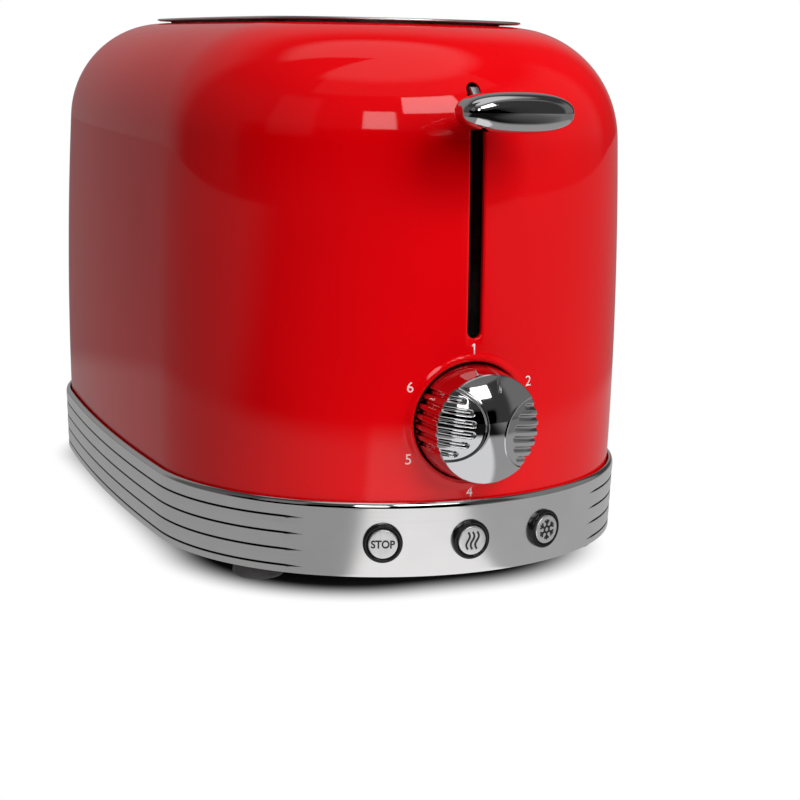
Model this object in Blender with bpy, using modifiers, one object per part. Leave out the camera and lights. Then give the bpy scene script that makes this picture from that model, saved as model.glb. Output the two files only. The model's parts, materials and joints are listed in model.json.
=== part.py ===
# Two-slot pop-up toaster: a rounded enamelled shell on a chrome base band.
# Metres, +Z up. The control end faces -Y, the length lies along Y, and the feet stand on Z = 0.
import bpy
import bmesh
from math import acos, asin, cos, hypot, pi, radians, sin, sqrt, tan
from mathutils import Vector

# Driving sizes of the body's plan, which is made of three arcs in each quarter
HALF_LENGTH = 0.150
HALF_WIDTH = 0.091
NOSE_RADIUS = 0.0958
NOSE_ANGLE = radians(31.6)
CORNER_ANGLE = radians(85.6)

# Clearances between neighbours
GAP = 0.0003
SLIDE_GAP = 0.0003
RUN_GAP = 0.00006
OVERRUN = 0.004
MERGE = 0.000001

# Outer shell
SHELL_WALL = 0.0015
SHELL_BOTTOM = 0.0274
BELLY_HEIGHT = 0.073
BELLY_INSET = 0.00175
BELLY_RADIUS = 1.5
SHOULDER_TOP = 0.1877
SHOULDER_RADIUS = 0.040
CROWN_SLOPE = radians(6)
OPENING_INSET = 0.0430

# Top plate with the bread slots
PLATE_INSET = 0.0402
PLATE_THICK = 0.0014
PLATE_EDGE = 0.0005
SLOT_SIDE_MARGIN = 0.0039
SLOT_LAND = 0.011
SLOT_END_MARGIN = 0.009
SLOT_CORNER = 0.008
LIP_WALL = 0.0011
LIP_DEPTH = 0.005

# Base band
BAND_BOTTOM = 0.0065
BAND_TOP = 0.0322
BAND_LEAN = 0.0008
BAND_WALL = 0.0018
RIM_ROUND = 0.0006
LEDGE_REACH = 0.0046
LEDGE_THICK = 0.0012
RIB_PITCH = 0.0057
RIB_TOP_LAND = 0.0060
RIB_DEPTH = 0.0007
RIB_LOWER_FLANK = 0.0006
RIB_UPPER_FLANK = 0.0016
RIB_START = 0.058
RIB_FADE = 0.006
RIB_COUNT = 4

# Base plate and feet
BASE_BOTTOM = 0.0070
BASE_THICK = 0.0023
FOOT_FROM_END = 0.044
FOOT_FROM_EDGE = 0.0183
FOOT_RADIUS = 0.0090
FOOT_ROUND = 0.0010
FOOT_STUD_RADIUS = 0.0030
VENT_WIDTH = 0.0036
VENT_LENGTH = 0.020
VENT_PITCH = 0.0080
VENT_COUNT = 7
VENT_FROM_END = 0.050

# Crumb tray
TRAY_SIDE_ROOM = 0.012
TRAY_WALL = 0.0008
TRAY_HEIGHT = 0.0053
TRAY_WINDOW_MARGIN = 0.0012
GRIP_SIDE_GAP = 0.0018
GRIP_PROUD = 0.0016
GRIP_ROOT = 0.006
GRIP_TAB_HALF_WIDTH = 0.017
GRIP_TAB_REACH = 0.010
GRIP_TAB_CORNER = 0.005
GRIP_TAB_SHARE = 0.7
RAIL_WIDTH = 0.0030
RAIL_HEIGHT = 0.0040

# Chassis of the toasting chamber
CHASSIS_THICK = 0.0010
CHASSIS_MARGIN = 0.003
CHASSIS_TOP_GAP = 0.0005
CHASSIS_CORNER = 0.010
CHASSIS_FOOT = 0.008
TRAY_HEADROOM = 0.0026
SHIELD_CLEARANCE = 0.006
SHIELD_THICK = 0.0006
SHIELD_BOTTOM = 0.020
SHIELD_FLANGE = 0.006
SCREW_RADIUS = 0.0015
SCREW_HEAD_RADIUS = 0.0030
SCREW_HEAD_HEIGHT = 0.0014
SCREW_REACH = 0.0030

# Heating boards and their windings
BOARD_CLEARANCE = 0.006
BOARD_THICK = 0.0008
BOARD_BOTTOM = 0.036
BOARD_HEADROOM = 0.0109
WIRE_RADIUS = 0.0004
WIRE_END_MARGIN = 0.008
WIRE_FOOT_MARGIN = 0.008
WIRE_TURNS = 8
WIRE_NOTCH_WIDTH = 0.010

# Bread guards
GUARD_INSET = 0.0018
GUARD_WIRE_RADIUS = 0.0008
GUARD_BAR_RADIUS = 0.0012
GUARD_BOTTOM = 0.034
GUARD_PITCH = 0.020
GUARD_END_MARGIN = 0.012

# Carriage
LEVER_SLOT_BELOW_TOP = 0.0182
LEVER_SLOT_BOTTOM = 0.0865
LEVER_SLOT_WIDTH = 0.0050
LEVER_END_GAP = 0.0015
ARM_THICK = 0.0030
ARM_HEIGHT = 0.0140
ARM_TIP_HEIGHT = 0.0070
RACK_LOW = 0.0390
RACK_HEIGHT = 0.0060
RACK_THICK = 0.0016
RACK_SLOT_GAP = 0.0007
RACK_TAIL = 0.004
FINGER_CLEARANCE = 0.0020
FINGER_LENGTH = 0.0026
FINGER_THICK = 0.0012
FINGER_PITCH = 0.020
FINGER_END_MARGIN = 0.018
BRACKET_STANDOFF = 0.0090
BRACKET_THICK = 0.0012
BRACKET_MARGIN = 0.0035
BRACKET_FOOT = 0.009
BRACKET_COLUMN = 0.013
BRACKET_CORNER = 0.003
ROD_RADIUS = 0.0020
ROD_X = 0.0078
ROD_STANDOFF = 0.0050
ROD_TAIL = 0.0020
EYE_RADIUS = 0.0036
EYE_HEIGHT = 0.007
TAB_THICK = 0.0012
TAB_BOTTOM = 0.022
TAB_SIDE = 0.0045
SPRING_X = 0.0078
SPRING_RADIUS = 0.0028
SPRING_WIRE = 0.00045
SPRING_TURNS = 10
SPRING_END = 0.004
SHELF_THICK = 0.0012
KEEPER_X = 0.0210
KEEPER_SIZE = 0.012
KEEPER_THICK = 0.0016
KEEPER_AIR = 0.0006

# Lever knob
LEVER_KNOB_REAR = 0.0040
LEVER_KNOB_DEPTH = 0.026
LEVER_KNOB_HALF_WIDTH = 0.019
LEVER_KNOB_ROOT_HALF_WIDTH = 0.0100
LEVER_KNOB_HEIGHT = 0.0130
LEVER_KNOB_CORNER = 0.006
LEVER_KNOB_EDGE = 0.0030
LEVER_SOCKET_DEPTH = 0.012

# Browning knob, potentiometer and control board
KNOB_HEIGHT = 0.0588
KNOB_TURN = radians(8)
KNOB_BASE_RADIUS = 0.0196
KNOB_RIM_RADIUS = 0.0183
KNOB_RIM_REACH = 0.0132
KNOB_DOME_REACH = 0.0195
KNOB_EDGE = 0.0012
KNOB_SINK = 0.0046
KNOB_HOLE_GAP = 0.0007
PAD_RADIUS = 0.0120
PAD_WEB_HALF_WIDTH = 0.0036
PAD_STEP = 0.0008
FLUTE_PITCH = 0.0035
FLUTE_WIDTH = 0.0022
FLUTE_DEPTH = 0.0010
FLUTE_COUNT = 6
FLUTE_INSET = 0.0030
GROOVE_SINK = 0.0030
POINTER_WIDTH = 0.0010
POINTER_LENGTH = 0.0056
POINTER_DEPTH = 0.0006
SHAFT_RADIUS = 0.0030
SHAFT_GRIP = 0.010
POT_RADIUS = 0.0082
POT_DEPTH = 0.0080
BUSHING_RADIUS = 0.0046
BUSHING_DEPTH = 0.0070
SHAFT_IN_BUSHING = 0.0060
CONTROL_STANDOFF = 0.0350
CONTROL_HALF_WIDTH = 0.036
CONTROL_BOTTOM = 0.030
CONTROL_TOP = 0.082
CIRCUIT_THICK = 0.0016
POST_SIZE = 0.006
POST_TOP = 0.066
BOARD_SCREW_HEIGHT = 0.046

# Electromagnet and terminal block
MAGNET_WIDTH = 0.014
MAGNET_DEPTH = 0.011
MAGNET_YOKE = 0.003
MAGNET_TO_BOARD = 0.0094
COIL_RADIUS = 0.0052
CORE_RADIUS = 0.0030
TERMINAL_FROM_SIDE = 0.025
TERMINAL_FROM_END = 0.090
TERMINAL_WIDTH = 0.014
TERMINAL_LENGTH = 0.026
TERMINAL_HEIGHT = 0.012
TERMINAL_BORE = 0.0022

# Buttons in the band
BUTTON_HEIGHT = 0.0186
BUTTON_SPACING = 0.0304
BUTTON_RING_RADIUS = 0.0065
BUTTON_RING_PROUD = 0.0013
BUTTON_RING_ROUND = 0.0006
BUTTON_BARREL_RADIUS = 0.0057
BUTTON_BARREL_DEPTH = 0.0060
BUTTON_CAP_RADIUS = 0.0047
BUTTON_CAP_PROUD = 0.0019
BUTTON_CAP_ROUND = 0.0004
BUTTON_CAP_DEPTH = 0.0050
BUTTON_STEM_RADIUS = 0.0018
BUTTON_STEM_REACH = 0.0100
BUTTON_TRAVEL = 0.0020
SWITCH_WIDTH = 0.0070
SWITCH_DEPTH = 0.0060
SWITCH_TOP = 0.0230
BUTTON_BOARD_INSET = 0.0080
BUTTON_BOARD_ANGLE = radians(29)
BUTTON_BOARD_BACK = 0.034

# Cord inlet in the rear of the band
GROMMET_HEIGHT = 0.0210
GROMMET_RADIUS = 0.0058
GROMMET_BARREL = 0.0044
GROMMET_BORE = 0.0033
GROMMET_PROUD = 0.0018
GROMMET_DEPTH = 0.0060

# Facets
PLAN_FACET = radians(9.6)
BARREL_STEPS = 3
SHOULDER_STEPS = 5
ROUND_SIDES = 18
KNOB_SIDES = 40
KNOB_DOME_STEPS = 5
FOOT_SIDES = 12
SMALL_SIDES = 10
SCREW_SIDES = 8
WIRE_SIDES = 4
CORNER_FACETS = 3
SLOT_FACETS = 2
COIL_STEPS = 6
CIRCLE_LEAD_SHARE = 0.2
GRIP_STEPS = 10
BUTTON_BOARD_STEPS = 8
PLATE_EDGE_STEPS = 1
LEVER_EDGE_STEPS = 3
EDGE_ANGLE = radians(40)
SHARP_ANGLE = radians(32)

# Heights and reaches worked out from the sizes above
BASE_TOP = BASE_BOTTOM + BASE_THICK
TRAY_BOTTOM = BASE_TOP + SLIDE_GAP
TRAY_TOP = TRAY_BOTTOM + TRAY_HEIGHT
CHASSIS_BOTTOM = BASE_TOP + GAP
LEVER_SLOT_TOP = SHOULDER_TOP - LEVER_SLOT_BELOW_TOP
ARM_TOP = LEVER_SLOT_TOP - LEVER_END_GAP
ARM_BOTTOM = ARM_TOP - ARM_HEIGHT
LEVER_TRAVEL = ARM_BOTTOM - LEVER_SLOT_BOTTOM - LEVER_END_GAP
RACK_BOTTOM = RACK_LOW + LEVER_TRAVEL
RACK_TOP = RACK_BOTTOM + RACK_HEIGHT
CONTROL_FRONT = HALF_LENGTH - CONTROL_STANDOFF
CONTROL_BACK = CONTROL_FRONT - CIRCUIT_THICK
MAGNET_FRONT = CONTROL_BACK - MAGNET_TO_BOARD
CHASSIS_FACE = MAGNET_FRONT - (MAGNET_DEPTH + KEEPER_SIZE) / 2 - GAP - BRACKET_THICK - BRACKET_STANDOFF
CHAMBER_HALF_LENGTH = CHASSIS_FACE - CHASSIS_THICK
BRACKET_BACK = CHASSIS_FACE + BRACKET_STANDOFF
BRACKET_FRONT = BRACKET_BACK + BRACKET_THICK
ROD_Y = BRACKET_FRONT + ROD_STANDOFF
FRONT_TANGENT = HALF_LENGTH - BELLY_INSET
LEVER_KNOB_FACE = HALF_LENGTH + LEVER_KNOB_REAR + LEVER_KNOB_DEPTH
GRIP_FACE = HALF_LENGTH + GRIP_TAB_REACH
ORIGIN_SHIFT = (LEVER_KNOB_FACE - GRIP_FACE) / 2

# Widths and lengths worked out from the opening that the shell leaves for the top plate
SLOT_OUTER = HALF_WIDTH - OPENING_INSET - SLOT_SIDE_MARGIN - LIP_WALL
SLOT_WIDTH = SLOT_OUTER - SLOT_LAND
SLOT_OFFSET = (SLOT_OUTER + SLOT_LAND) / 2
SLOT_LENGTH = 2 * (CHAMBER_HALF_LENGTH - SLOT_END_MARGIN)
GUARD_OFFSET = SLOT_WIDTH / 2 - GUARD_INSET
FINGER_HALF_WIDTH = GUARD_OFFSET - GUARD_BAR_RADIUS - FINGER_CLEARANCE
BOARD_OFFSET = SLOT_OUTER + BOARD_CLEARANCE
SHIELD_OFFSET = BOARD_OFFSET + SHIELD_CLEARANCE
CHASSIS_HALF_WIDTH = SHIELD_OFFSET + CHASSIS_MARGIN
TRAY_HALF_WIDTH = CHASSIS_HALF_WIDTH - TRAY_SIDE_ROOM
BRACKET_HALF_WIDTH = SLOT_OFFSET + BRACKET_MARGIN
GRIP_ANGLE = asin((TRAY_HALF_WIDTH - GRIP_SIDE_GAP) / (NOSE_RADIUS + GRIP_PROUD))
TERMINAL_X = HALF_WIDTH - TERMINAL_FROM_SIDE

# Colours, roughness and metallic value of each finish
FINISHES = {
    "red_enamel": ((0.60, 0.004, 0.008), 0.12, 0.0),
    "brushed_steel": ((0.62, 0.62, 0.63), 0.34, 1.0),
    "chrome": ((0.80, 0.80, 0.81), 0.08, 1.0),
    "satin_chrome": ((0.66, 0.66, 0.67), 0.20, 1.0),
    "black_plastic": ((0.018, 0.018, 0.020), 0.45, 0.0),
    "gloss_black": ((0.010, 0.010, 0.012), 0.10, 0.0),
    "silver_paint": ((0.58, 0.58, 0.60), 0.30, 0.6),
    "rubber": ((0.035, 0.034, 0.034), 0.80, 0.0),
    "zinc_sheet": ((0.52, 0.53, 0.55), 0.38, 1.0),
    "mica": ((0.62, 0.55, 0.42), 0.55, 0.0),
    "heating_wire": ((0.25, 0.23, 0.22), 0.40, 1.0),
    "spring_steel": ((0.42, 0.42, 0.44), 0.30, 1.0),
    "circuit_green": ((0.02, 0.14, 0.06), 0.45, 0.0),
    "copper": ((0.62, 0.26, 0.12), 0.30, 1.0),
    "ivory_plastic": ((0.72, 0.69, 0.60), 0.45, 0.0),
}


def clear_scene():
    for item in list(bpy.data.objects):
        bpy.data.objects.remove(item, do_unlink=True)


def new_collection(name):
    group = bpy.data.collections.new(name)
    bpy.context.scene.collection.children.link(group)
    return group


def make_material(piece_name, finish):
    colour, roughness, metallic = FINISHES[finish]
    material = bpy.data.materials.new(piece_name)
    material.use_nodes = True
    shader = material.node_tree.nodes["Principled BSDF"]
    shader.inputs["Base Color"].default_value = (*colour, 1.0)
    shader.inputs["Roughness"].default_value = roughness
    shader.inputs["Metallic"].default_value = metallic
    return material


def empty_at(name, place, parent=None, turn=0.0):
    axes = bpy.data.objects.new(name, None)
    PARTS.objects.link(axes)
    axes.parent = parent
    axes.location = place
    axes.rotation_euler = (0, 0, turn)
    return axes


def link_mesh(name, bm, parent, place, turn=(0, 0, 0)):
    mesh = bpy.data.meshes.new(name)
    bm.to_mesh(mesh)
    bm.free()
    piece = bpy.data.objects.new(name, mesh)
    PARTS.objects.link(piece)
    piece.parent = parent
    piece.location = place
    piece.rotation_euler = turn
    return piece


def finish(piece, look, smooth=False):
    piece.data.materials.clear()
    piece.data.materials.append(make_material(piece.name, look))
    if smooth:
        piece.data.shade_smooth()
        piece.data.set_sharp_from_angle(angle=SHARP_ANGLE)
    return piece


def as_tool(piece):
    # A cutter, or a shape that a union takes in, is a guide and not a piece
    PARTS.objects.unlink(piece)
    TOOLS.objects.link(piece)
    piece.hide_render = True
    piece.display_type = "WIRE"
    return piece


def boolean(piece, tool, operation):
    as_tool(tool)
    step = piece.modifiers.new(operation.lower(), "BOOLEAN")
    step.operation = operation
    step.solver = "EXACT"
    step.object = tool
    return piece


def cut(piece, tool):
    return boolean(piece, tool, "DIFFERENCE")


def join(piece, tool):
    return boolean(piece, tool, "UNION")


def bevel(piece, width, segments):
    step = piece.modifiers.new("rounded_edges", "BEVEL")
    step.width = width
    step.segments = segments
    step.limit_method = "ANGLE"
    step.angle_limit = EDGE_ANGLE
    return piece


def box(name, low, high, parent):
    centre = [(a + b) / 2 for a, b in zip(low, high)]
    size = [b - a for a, b in zip(low, high)]
    bm = bmesh.new()
    bmesh.ops.create_cube(bm, size=1)
    bmesh.ops.scale(bm, vec=size, verts=bm.verts)
    return link_mesh(name, bm, parent, centre)


def rod(name, start, end, radius, parent, sides=SMALL_SIDES):
    start, end = Vector(start), Vector(end)
    run = end - start
    bm = bmesh.new()
    bmesh.ops.create_cone(bm, cap_ends=True, segments=sides, radius1=radius, radius2=radius,
                          depth=run.length)
    piece = link_mesh(name, bm, parent, (start + end) / 2)
    piece.rotation_euler = run.to_track_quat("Z", "Y").to_euler()
    return piece


def turned(name, profile, parent, place, turn=(0, 0, 0), sides=ROUND_SIDES, closed=False):
    # The profile runs down the outer side at +X, from the top to the bottom
    bm = bmesh.new()
    points = [bm.verts.new((radius, 0, height)) for radius, height in profile]
    for first, second in zip(points, points[1:]):
        bm.edges.new((first, second))
    if closed:
        bm.edges.new((points[-1], points[0]))
    piece = link_mesh(name, bm, parent, place, turn)
    screw = piece.modifiers.new("turned", "SCREW")
    screw.steps = sides
    screw.render_steps = sides
    screw.use_merge_vertices = True
    screw.merge_threshold = MERGE
    screw.use_smooth_shade = True
    return piece


def curve_to_piece(name, curve, parent, place, turn):
    holder = bpy.data.objects.new(name, curve)
    PARTS.objects.link(holder)
    depsgraph = bpy.context.evaluated_depsgraph_get()
    mesh = bpy.data.meshes.new_from_object(holder.evaluated_get(depsgraph))
    bpy.data.objects.remove(holder, do_unlink=True)
    bpy.data.curves.remove(curve)
    bm = bmesh.new()
    bm.from_mesh(mesh)
    bpy.data.meshes.remove(mesh)
    bmesh.ops.remove_doubles(bm, verts=bm.verts, dist=MERGE)
    bmesh.ops.recalc_face_normals(bm, faces=bm.faces)
    return link_mesh(name, bm, parent, place, turn)


def add_spline(curve, points, cyclic):
    spline = curve.splines.new("POLY")
    spline.points.add(len(points) - 1)
    for knot, point in zip(spline.points, points):
        knot.co = (*point, 1) if len(point) == 3 else (*point, 0, 1)
    spline.use_cyclic_u = cyclic


def flat(name, loops, thickness, parent, place, turn=(0, 0, 0)):
    # A flat outline with its holes, as thick as asked, centred on its plane
    curve = bpy.data.curves.new(name, "CURVE")
    curve.dimensions = "2D"
    curve.fill_mode = "BOTH"
    curve.extrude = thickness / 2
    for loop in loops:
        add_spline(curve, loop, True)
    return curve_to_piece(name, curve, parent, place, turn)


def wire(name, points, radius, parent, resolution=0):
    curve = bpy.data.curves.new(name, "CURVE")
    curve.dimensions = "3D"
    curve.bevel_depth = radius
    curve.bevel_resolution = resolution
    curve.use_fill_caps = True
    add_spline(curve, points, False)
    return curve_to_piece(name, curve, parent, (0, 0, 0), (0, 0, 0))


UPRIGHT_XZ = (radians(90), 0, 0)
UPRIGHT_YZ = (radians(90), 0, radians(90))
FACING_FRONT = (radians(90), 0, 0)
FACING_REAR = (radians(-90), 0, 0)


def rounded_loop(low, high, radius, facets=CORNER_FACETS):
    # A rectangle with round corners, from its low corner to its high one; two that meet share a point
    x0, y0 = low
    x1, y1 = high
    centres = [(x1 - radius, y1 - radius), (x0 + radius, y1 - radius),
               (x0 + radius, y0 + radius), (x1 - radius, y0 + radius)]
    points = []
    for quarter, (cx, cy) in enumerate(centres):
        for step in range(facets + 1):
            angle = (quarter + step / facets) * pi / 2
            point = (cx + radius * cos(angle), cy + radius * sin(angle))
            if not points or (Vector(point) - Vector(points[-1])).length > MERGE:
                points.append(point)
    return points


def row_places(half_length, pitch):
    # Places one pitch apart, centred, within the half length
    count = int(half_length / pitch)
    return [step * pitch for step in range(-count, count + 1)]


def circle_loop(centre, radius, sides=SMALL_SIDES):
    # The lead keeps a circle's corners off each other's lines, so that a fill has no flat triangles
    turns = [2 * pi * (step + CIRCLE_LEAD_SHARE) / sides for step in range(sides)]
    return [(centre[0] + radius * cos(turn), centre[1] + radius * sin(turn)) for turn in turns]


def plan_radii():
    # The corner and side radii that close the quarter plan on the half width and half length
    a = sin(CORNER_ANGLE) - sin(NOSE_ANGLE)
    b = 1 - sin(CORNER_ANGLE)
    c = cos(NOSE_ANGLE) - cos(CORNER_ANGLE)
    d = cos(CORNER_ANGLE)
    across = HALF_WIDTH - NOSE_RADIUS * sin(NOSE_ANGLE)
    along = HALF_LENGTH - NOSE_RADIUS * (1 - cos(NOSE_ANGLE))
    divisor = a * d - b * c
    return (across * d - b * along) / divisor, (a * along - across * c) / divisor


CORNER_RADIUS, SIDE_RADIUS = plan_radii()


def plan_point(angle, inset):
    # A point of the quarter plan; the angle runs from the front nose (0) to the side (90 degrees)
    x = (NOSE_RADIUS - inset) * sin(min(angle, NOSE_ANGLE))
    y = -HALF_LENGTH + inset + (NOSE_RADIUS - inset) * (1 - cos(min(angle, NOSE_ANGLE)))
    if angle > NOSE_ANGLE:
        end = min(angle, CORNER_ANGLE)
        x += (CORNER_RADIUS - inset) * (sin(end) - sin(NOSE_ANGLE))
        y += (CORNER_RADIUS - inset) * (cos(NOSE_ANGLE) - cos(end))
    if angle > CORNER_ANGLE:
        x += (SIDE_RADIUS - inset) * (sin(angle) - sin(CORNER_ANGLE))
        y += (SIDE_RADIUS - inset) * (cos(CORNER_ANGLE) - cos(angle))
    return x, y


def half_width_at(depth):
    # Half of the plan's width this far behind the front, within the corner arc
    nose_depth = NOSE_RADIUS * (1 - cos(NOSE_ANGLE))
    turn = acos(cos(NOSE_ANGLE) - (depth - nose_depth) / CORNER_RADIUS)
    return NOSE_RADIUS * sin(NOSE_ANGLE) + CORNER_RADIUS * (sin(turn) - sin(NOSE_ANGLE))


def arc_distance(angle):
    nose = NOSE_RADIUS * min(angle, NOSE_ANGLE)
    corner = CORNER_RADIUS * max(0, min(angle, CORNER_ANGLE) - NOSE_ANGLE)
    return nose + corner


def angle_at(distance):
    nose = NOSE_RADIUS * NOSE_ANGLE
    if distance <= nose:
        return distance / NOSE_RADIUS
    return NOSE_ANGLE + (distance - nose) / CORNER_RADIUS


def quarter_angles():
    # Facets of nearly one angle between the places where the plan or the band's ribs change
    keys = sorted([0, NOSE_ANGLE, angle_at(RIB_START), angle_at(RIB_START + RIB_FADE), CORNER_ANGLE,
                   pi / 2])
    angles = [0]
    for low, high in zip(keys, keys[1:]):
        steps = max(1, round((high - low) / PLAN_FACET))
        angles += [low + (high - low) * (step + 1) / steps for step in range(steps)]
    return angles


def plan_columns():
    # Every column round the plan as its quarter angle, its side in X and its end in Y
    quarter = quarter_angles()
    columns = [(angle, 1, 1) for angle in quarter]
    columns += [(angle, 1, -1) for angle in reversed(quarter[:-1])]
    columns += [(angle, -1, -1) for angle in quarter[1:]]
    columns += [(angle, -1, 1) for angle in reversed(quarter[1:-1])]
    return columns


def plan_place(column, inset):
    angle, side, end = column
    x, y = plan_point(angle, inset)
    return side * x, end * y


def plan_loop(inset):
    return [plan_place(column, inset) for column in plan_columns()]


def shell_profile():
    # Inset and height up the wall: a long barrel arc, the shoulder arc, then the crown's rise
    end = pi / 2 - CROWN_SLOPE
    centre_height = SHOULDER_TOP - SHOULDER_RADIUS * sin(end)
    start = asin((centre_height - BELLY_HEIGHT) / (BELLY_RADIUS - SHOULDER_RADIUS))
    centre_inset = BELLY_INSET + BELLY_RADIUS * (1 - cos(start)) + SHOULDER_RADIUS * cos(start)
    low = asin((SHELL_BOTTOM - BELLY_HEIGHT) / BELLY_RADIUS)
    rows = []
    for step in range(BARREL_STEPS):
        angle = low + (start - low) * step / BARREL_STEPS
        rows.append((BELLY_INSET + BELLY_RADIUS * (1 - cos(angle)),
                     BELLY_HEIGHT + BELLY_RADIUS * sin(angle)))
    for step in range(SHOULDER_STEPS + 1):
        angle = start + (end - start) * step / SHOULDER_STEPS
        rows.append((centre_inset - SHOULDER_RADIUS * cos(angle),
                     centre_height + SHOULDER_RADIUS * sin(angle)))
    rise = (OPENING_INSET - rows[-1][0]) * tan(CROWN_SLOPE)
    rows.append((OPENING_INSET, rows[-1][1] + rise))
    return rows


SHELL_TOP = shell_profile()[-1][1]
PLATE_BOTTOM = SHELL_TOP + GAP
CHASSIS_TOP = PLATE_BOTTOM - LIP_DEPTH - CHASSIS_TOP_GAP
BOARD_TOP = CHASSIS_TOP - BOARD_HEADROOM


def skin(name, columns, parent, closed_rows):
    # Quads between neighbouring columns of points, closed round the plan
    bm = bmesh.new()
    grid = [[bm.verts.new(point) for point in column] for column in columns]
    rows = len(grid[0])
    row_count = rows if closed_rows else rows - 1
    for left, right in zip(grid, grid[1:] + grid[:1]):
        for row in range(row_count):
            above = (row + 1) % rows
            bm.faces.new((left[row], right[row], right[above], left[above]))
    return link_mesh(name, bm, parent, (0, 0, 0))


def make_outer_shell(parent):
    profile = shell_profile()
    columns = []
    for column in plan_columns():
        columns.append([(*plan_place(column, inset), height) for inset, height in profile])
    shell = skin("outer_shell", columns, parent, False)
    wall = shell.modifiers.new("wall", "SOLIDIFY")
    wall.thickness = SHELL_WALL
    wall.offset = -1
    wall.use_even_offset = True
    half_slot = LEVER_SLOT_WIDTH / 2
    slot = flat("lever_slot_cutter",
                [rounded_loop((-half_slot, LEVER_SLOT_BOTTOM), (half_slot, LEVER_SLOT_TOP), half_slot)],
                2 * SHOULDER_RADIUS, parent, (0, -HALF_LENGTH, 0), UPRIGHT_XZ)
    cut(shell, slot)
    hole = rod("knob_hole_cutter", (0, -FRONT_TANGENT - OVERRUN, KNOB_HEIGHT),
               (0, -FRONT_TANGENT + 2 * OVERRUN, KNOB_HEIGHT), KNOB_BASE_RADIUS + KNOB_HOLE_GAP,
               parent, ROUND_SIDES)
    cut(shell, hole)
    return finish(shell, "red_enamel", True)


def make_top_plate(parent):
    plate = flat("top_plate", [plan_loop(PLATE_INSET)], PLATE_THICK, parent,
                 (0, 0, PLATE_BOTTOM + PLATE_THICK / 2))
    bevel(plate, PLATE_EDGE, PLATE_EDGE_STEPS)
    for side in (-1, 1):
        half = Vector((SLOT_WIDTH / 2, SLOT_LENGTH / 2))
        centre = Vector((side * SLOT_OFFSET, 0))
        wall = Vector((LIP_WALL, LIP_WALL))
        outer = rounded_loop(centre - half - wall, centre + half + wall, SLOT_CORNER + LIP_WALL)
        lip_height = LIP_DEPTH + PLATE_THICK / 2
        lip = flat("slot_lip", [outer], lip_height, parent,
                   (0, 0, PLATE_BOTTOM - LIP_DEPTH + lip_height / 2))
        join(plate, lip)
    for side in (-1, 1):
        centre = Vector((side * SLOT_OFFSET, 0))
        inner = rounded_loop(centre - half, centre + half, SLOT_CORNER)
        cutter = flat("bread_slot_cutter", [inner], 2 * (LIP_DEPTH + OVERRUN), parent,
                      (0, 0, PLATE_BOTTOM))
        cut(plate, cutter)
    return finish(plate, "brushed_steel", True)


def band_section(fade):
    # The band's closed section as inset and height: the ribbed face, the rim, the inner face
    span = BAND_TOP - BAND_BOTTOM

    def face(height, depth=0.0):
        return BAND_LEAN * (BAND_TOP - height) / span + depth * fade, height

    section = [(BAND_LEAN + RIM_ROUND, BAND_BOTTOM), face(BAND_BOTTOM + RIM_ROUND)]
    for rib in reversed(range(RIB_COUNT)):
        groove = BAND_TOP - RIB_TOP_LAND - rib * RIB_PITCH
        section.append(face(groove - RIB_LOWER_FLANK))
        section.append(face(groove, RIB_DEPTH))
        section.append(face(groove + RIB_UPPER_FLANK))
    inner = BAND_WALL
    ledge_top = SHELL_BOTTOM - GAP
    section += [face(BAND_TOP - RIM_ROUND), (RIM_ROUND, BAND_TOP), (inner - RIM_ROUND, BAND_TOP),
                (inner, BAND_TOP - RIM_ROUND), (inner, ledge_top), (LEDGE_REACH, ledge_top),
                (LEDGE_REACH, ledge_top - LEDGE_THICK),
                (inner + BAND_LEAN, ledge_top - LEDGE_THICK), (inner + BAND_LEAN, BAND_BOTTOM)]
    return section


def rib_fade(column):
    angle, _, end = column
    if end < 0:
        return 1.0
    return min(1.0, max(0.0, (arc_distance(angle) - RIB_START) / RIB_FADE))


def button_turns():
    # The stop, reheat and defrost buttons, each with the turn of its axis about Z
    turn = BUTTON_SPACING / NOSE_RADIUS
    return {"stop": -turn, "reheat": 0.0, "defrost": turn}


def button_place(turn):
    # The point where the button's axis meets the band's face
    lean = BAND_LEAN * (BAND_TOP - BUTTON_HEIGHT) / (BAND_TOP - BAND_BOTTOM)
    reach = NOSE_RADIUS - lean
    return reach * sin(turn), -HALF_LENGTH + NOSE_RADIUS - reach * cos(turn), BUTTON_HEIGHT


def make_base_band(parent):
    columns = []
    for column in plan_columns():
        section = band_section(rib_fade(column))
        columns.append([(*plan_place(column, inset), height) for inset, height in section])
    band = skin("base_band", columns, parent, True)
    window_top = TRAY_TOP + SLIDE_GAP
    window = box("tray_window_cutter",
                 (-TRAY_HALF_WIDTH - TRAY_WINDOW_MARGIN, HALF_LENGTH - CONTROL_STANDOFF, BASE_TOP),
                 (TRAY_HALF_WIDTH + TRAY_WINDOW_MARGIN, HALF_LENGTH + OVERRUN, window_top), parent)
    cut(band, window)
    grommet = rod("grommet_cutter", (0, HALF_LENGTH - 2 * OVERRUN, GROMMET_HEIGHT),
                  (0, HALF_LENGTH + OVERRUN, GROMMET_HEIGHT), GROMMET_BARREL + GAP, parent,
                  ROUND_SIDES)
    cut(band, grommet)
    for turn in button_turns().values():
        x, y, z = button_place(turn)
        outward = Vector((sin(turn), -cos(turn), 0))
        place = Vector((x, y, z))
        hole = rod("button_cutter", place - outward * 2 * OVERRUN, place + outward * OVERRUN,
                   BUTTON_BARREL_RADIUS + GAP, parent, ROUND_SIDES)
        cut(band, hole)
    return finish(band, "satin_chrome", True)


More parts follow.
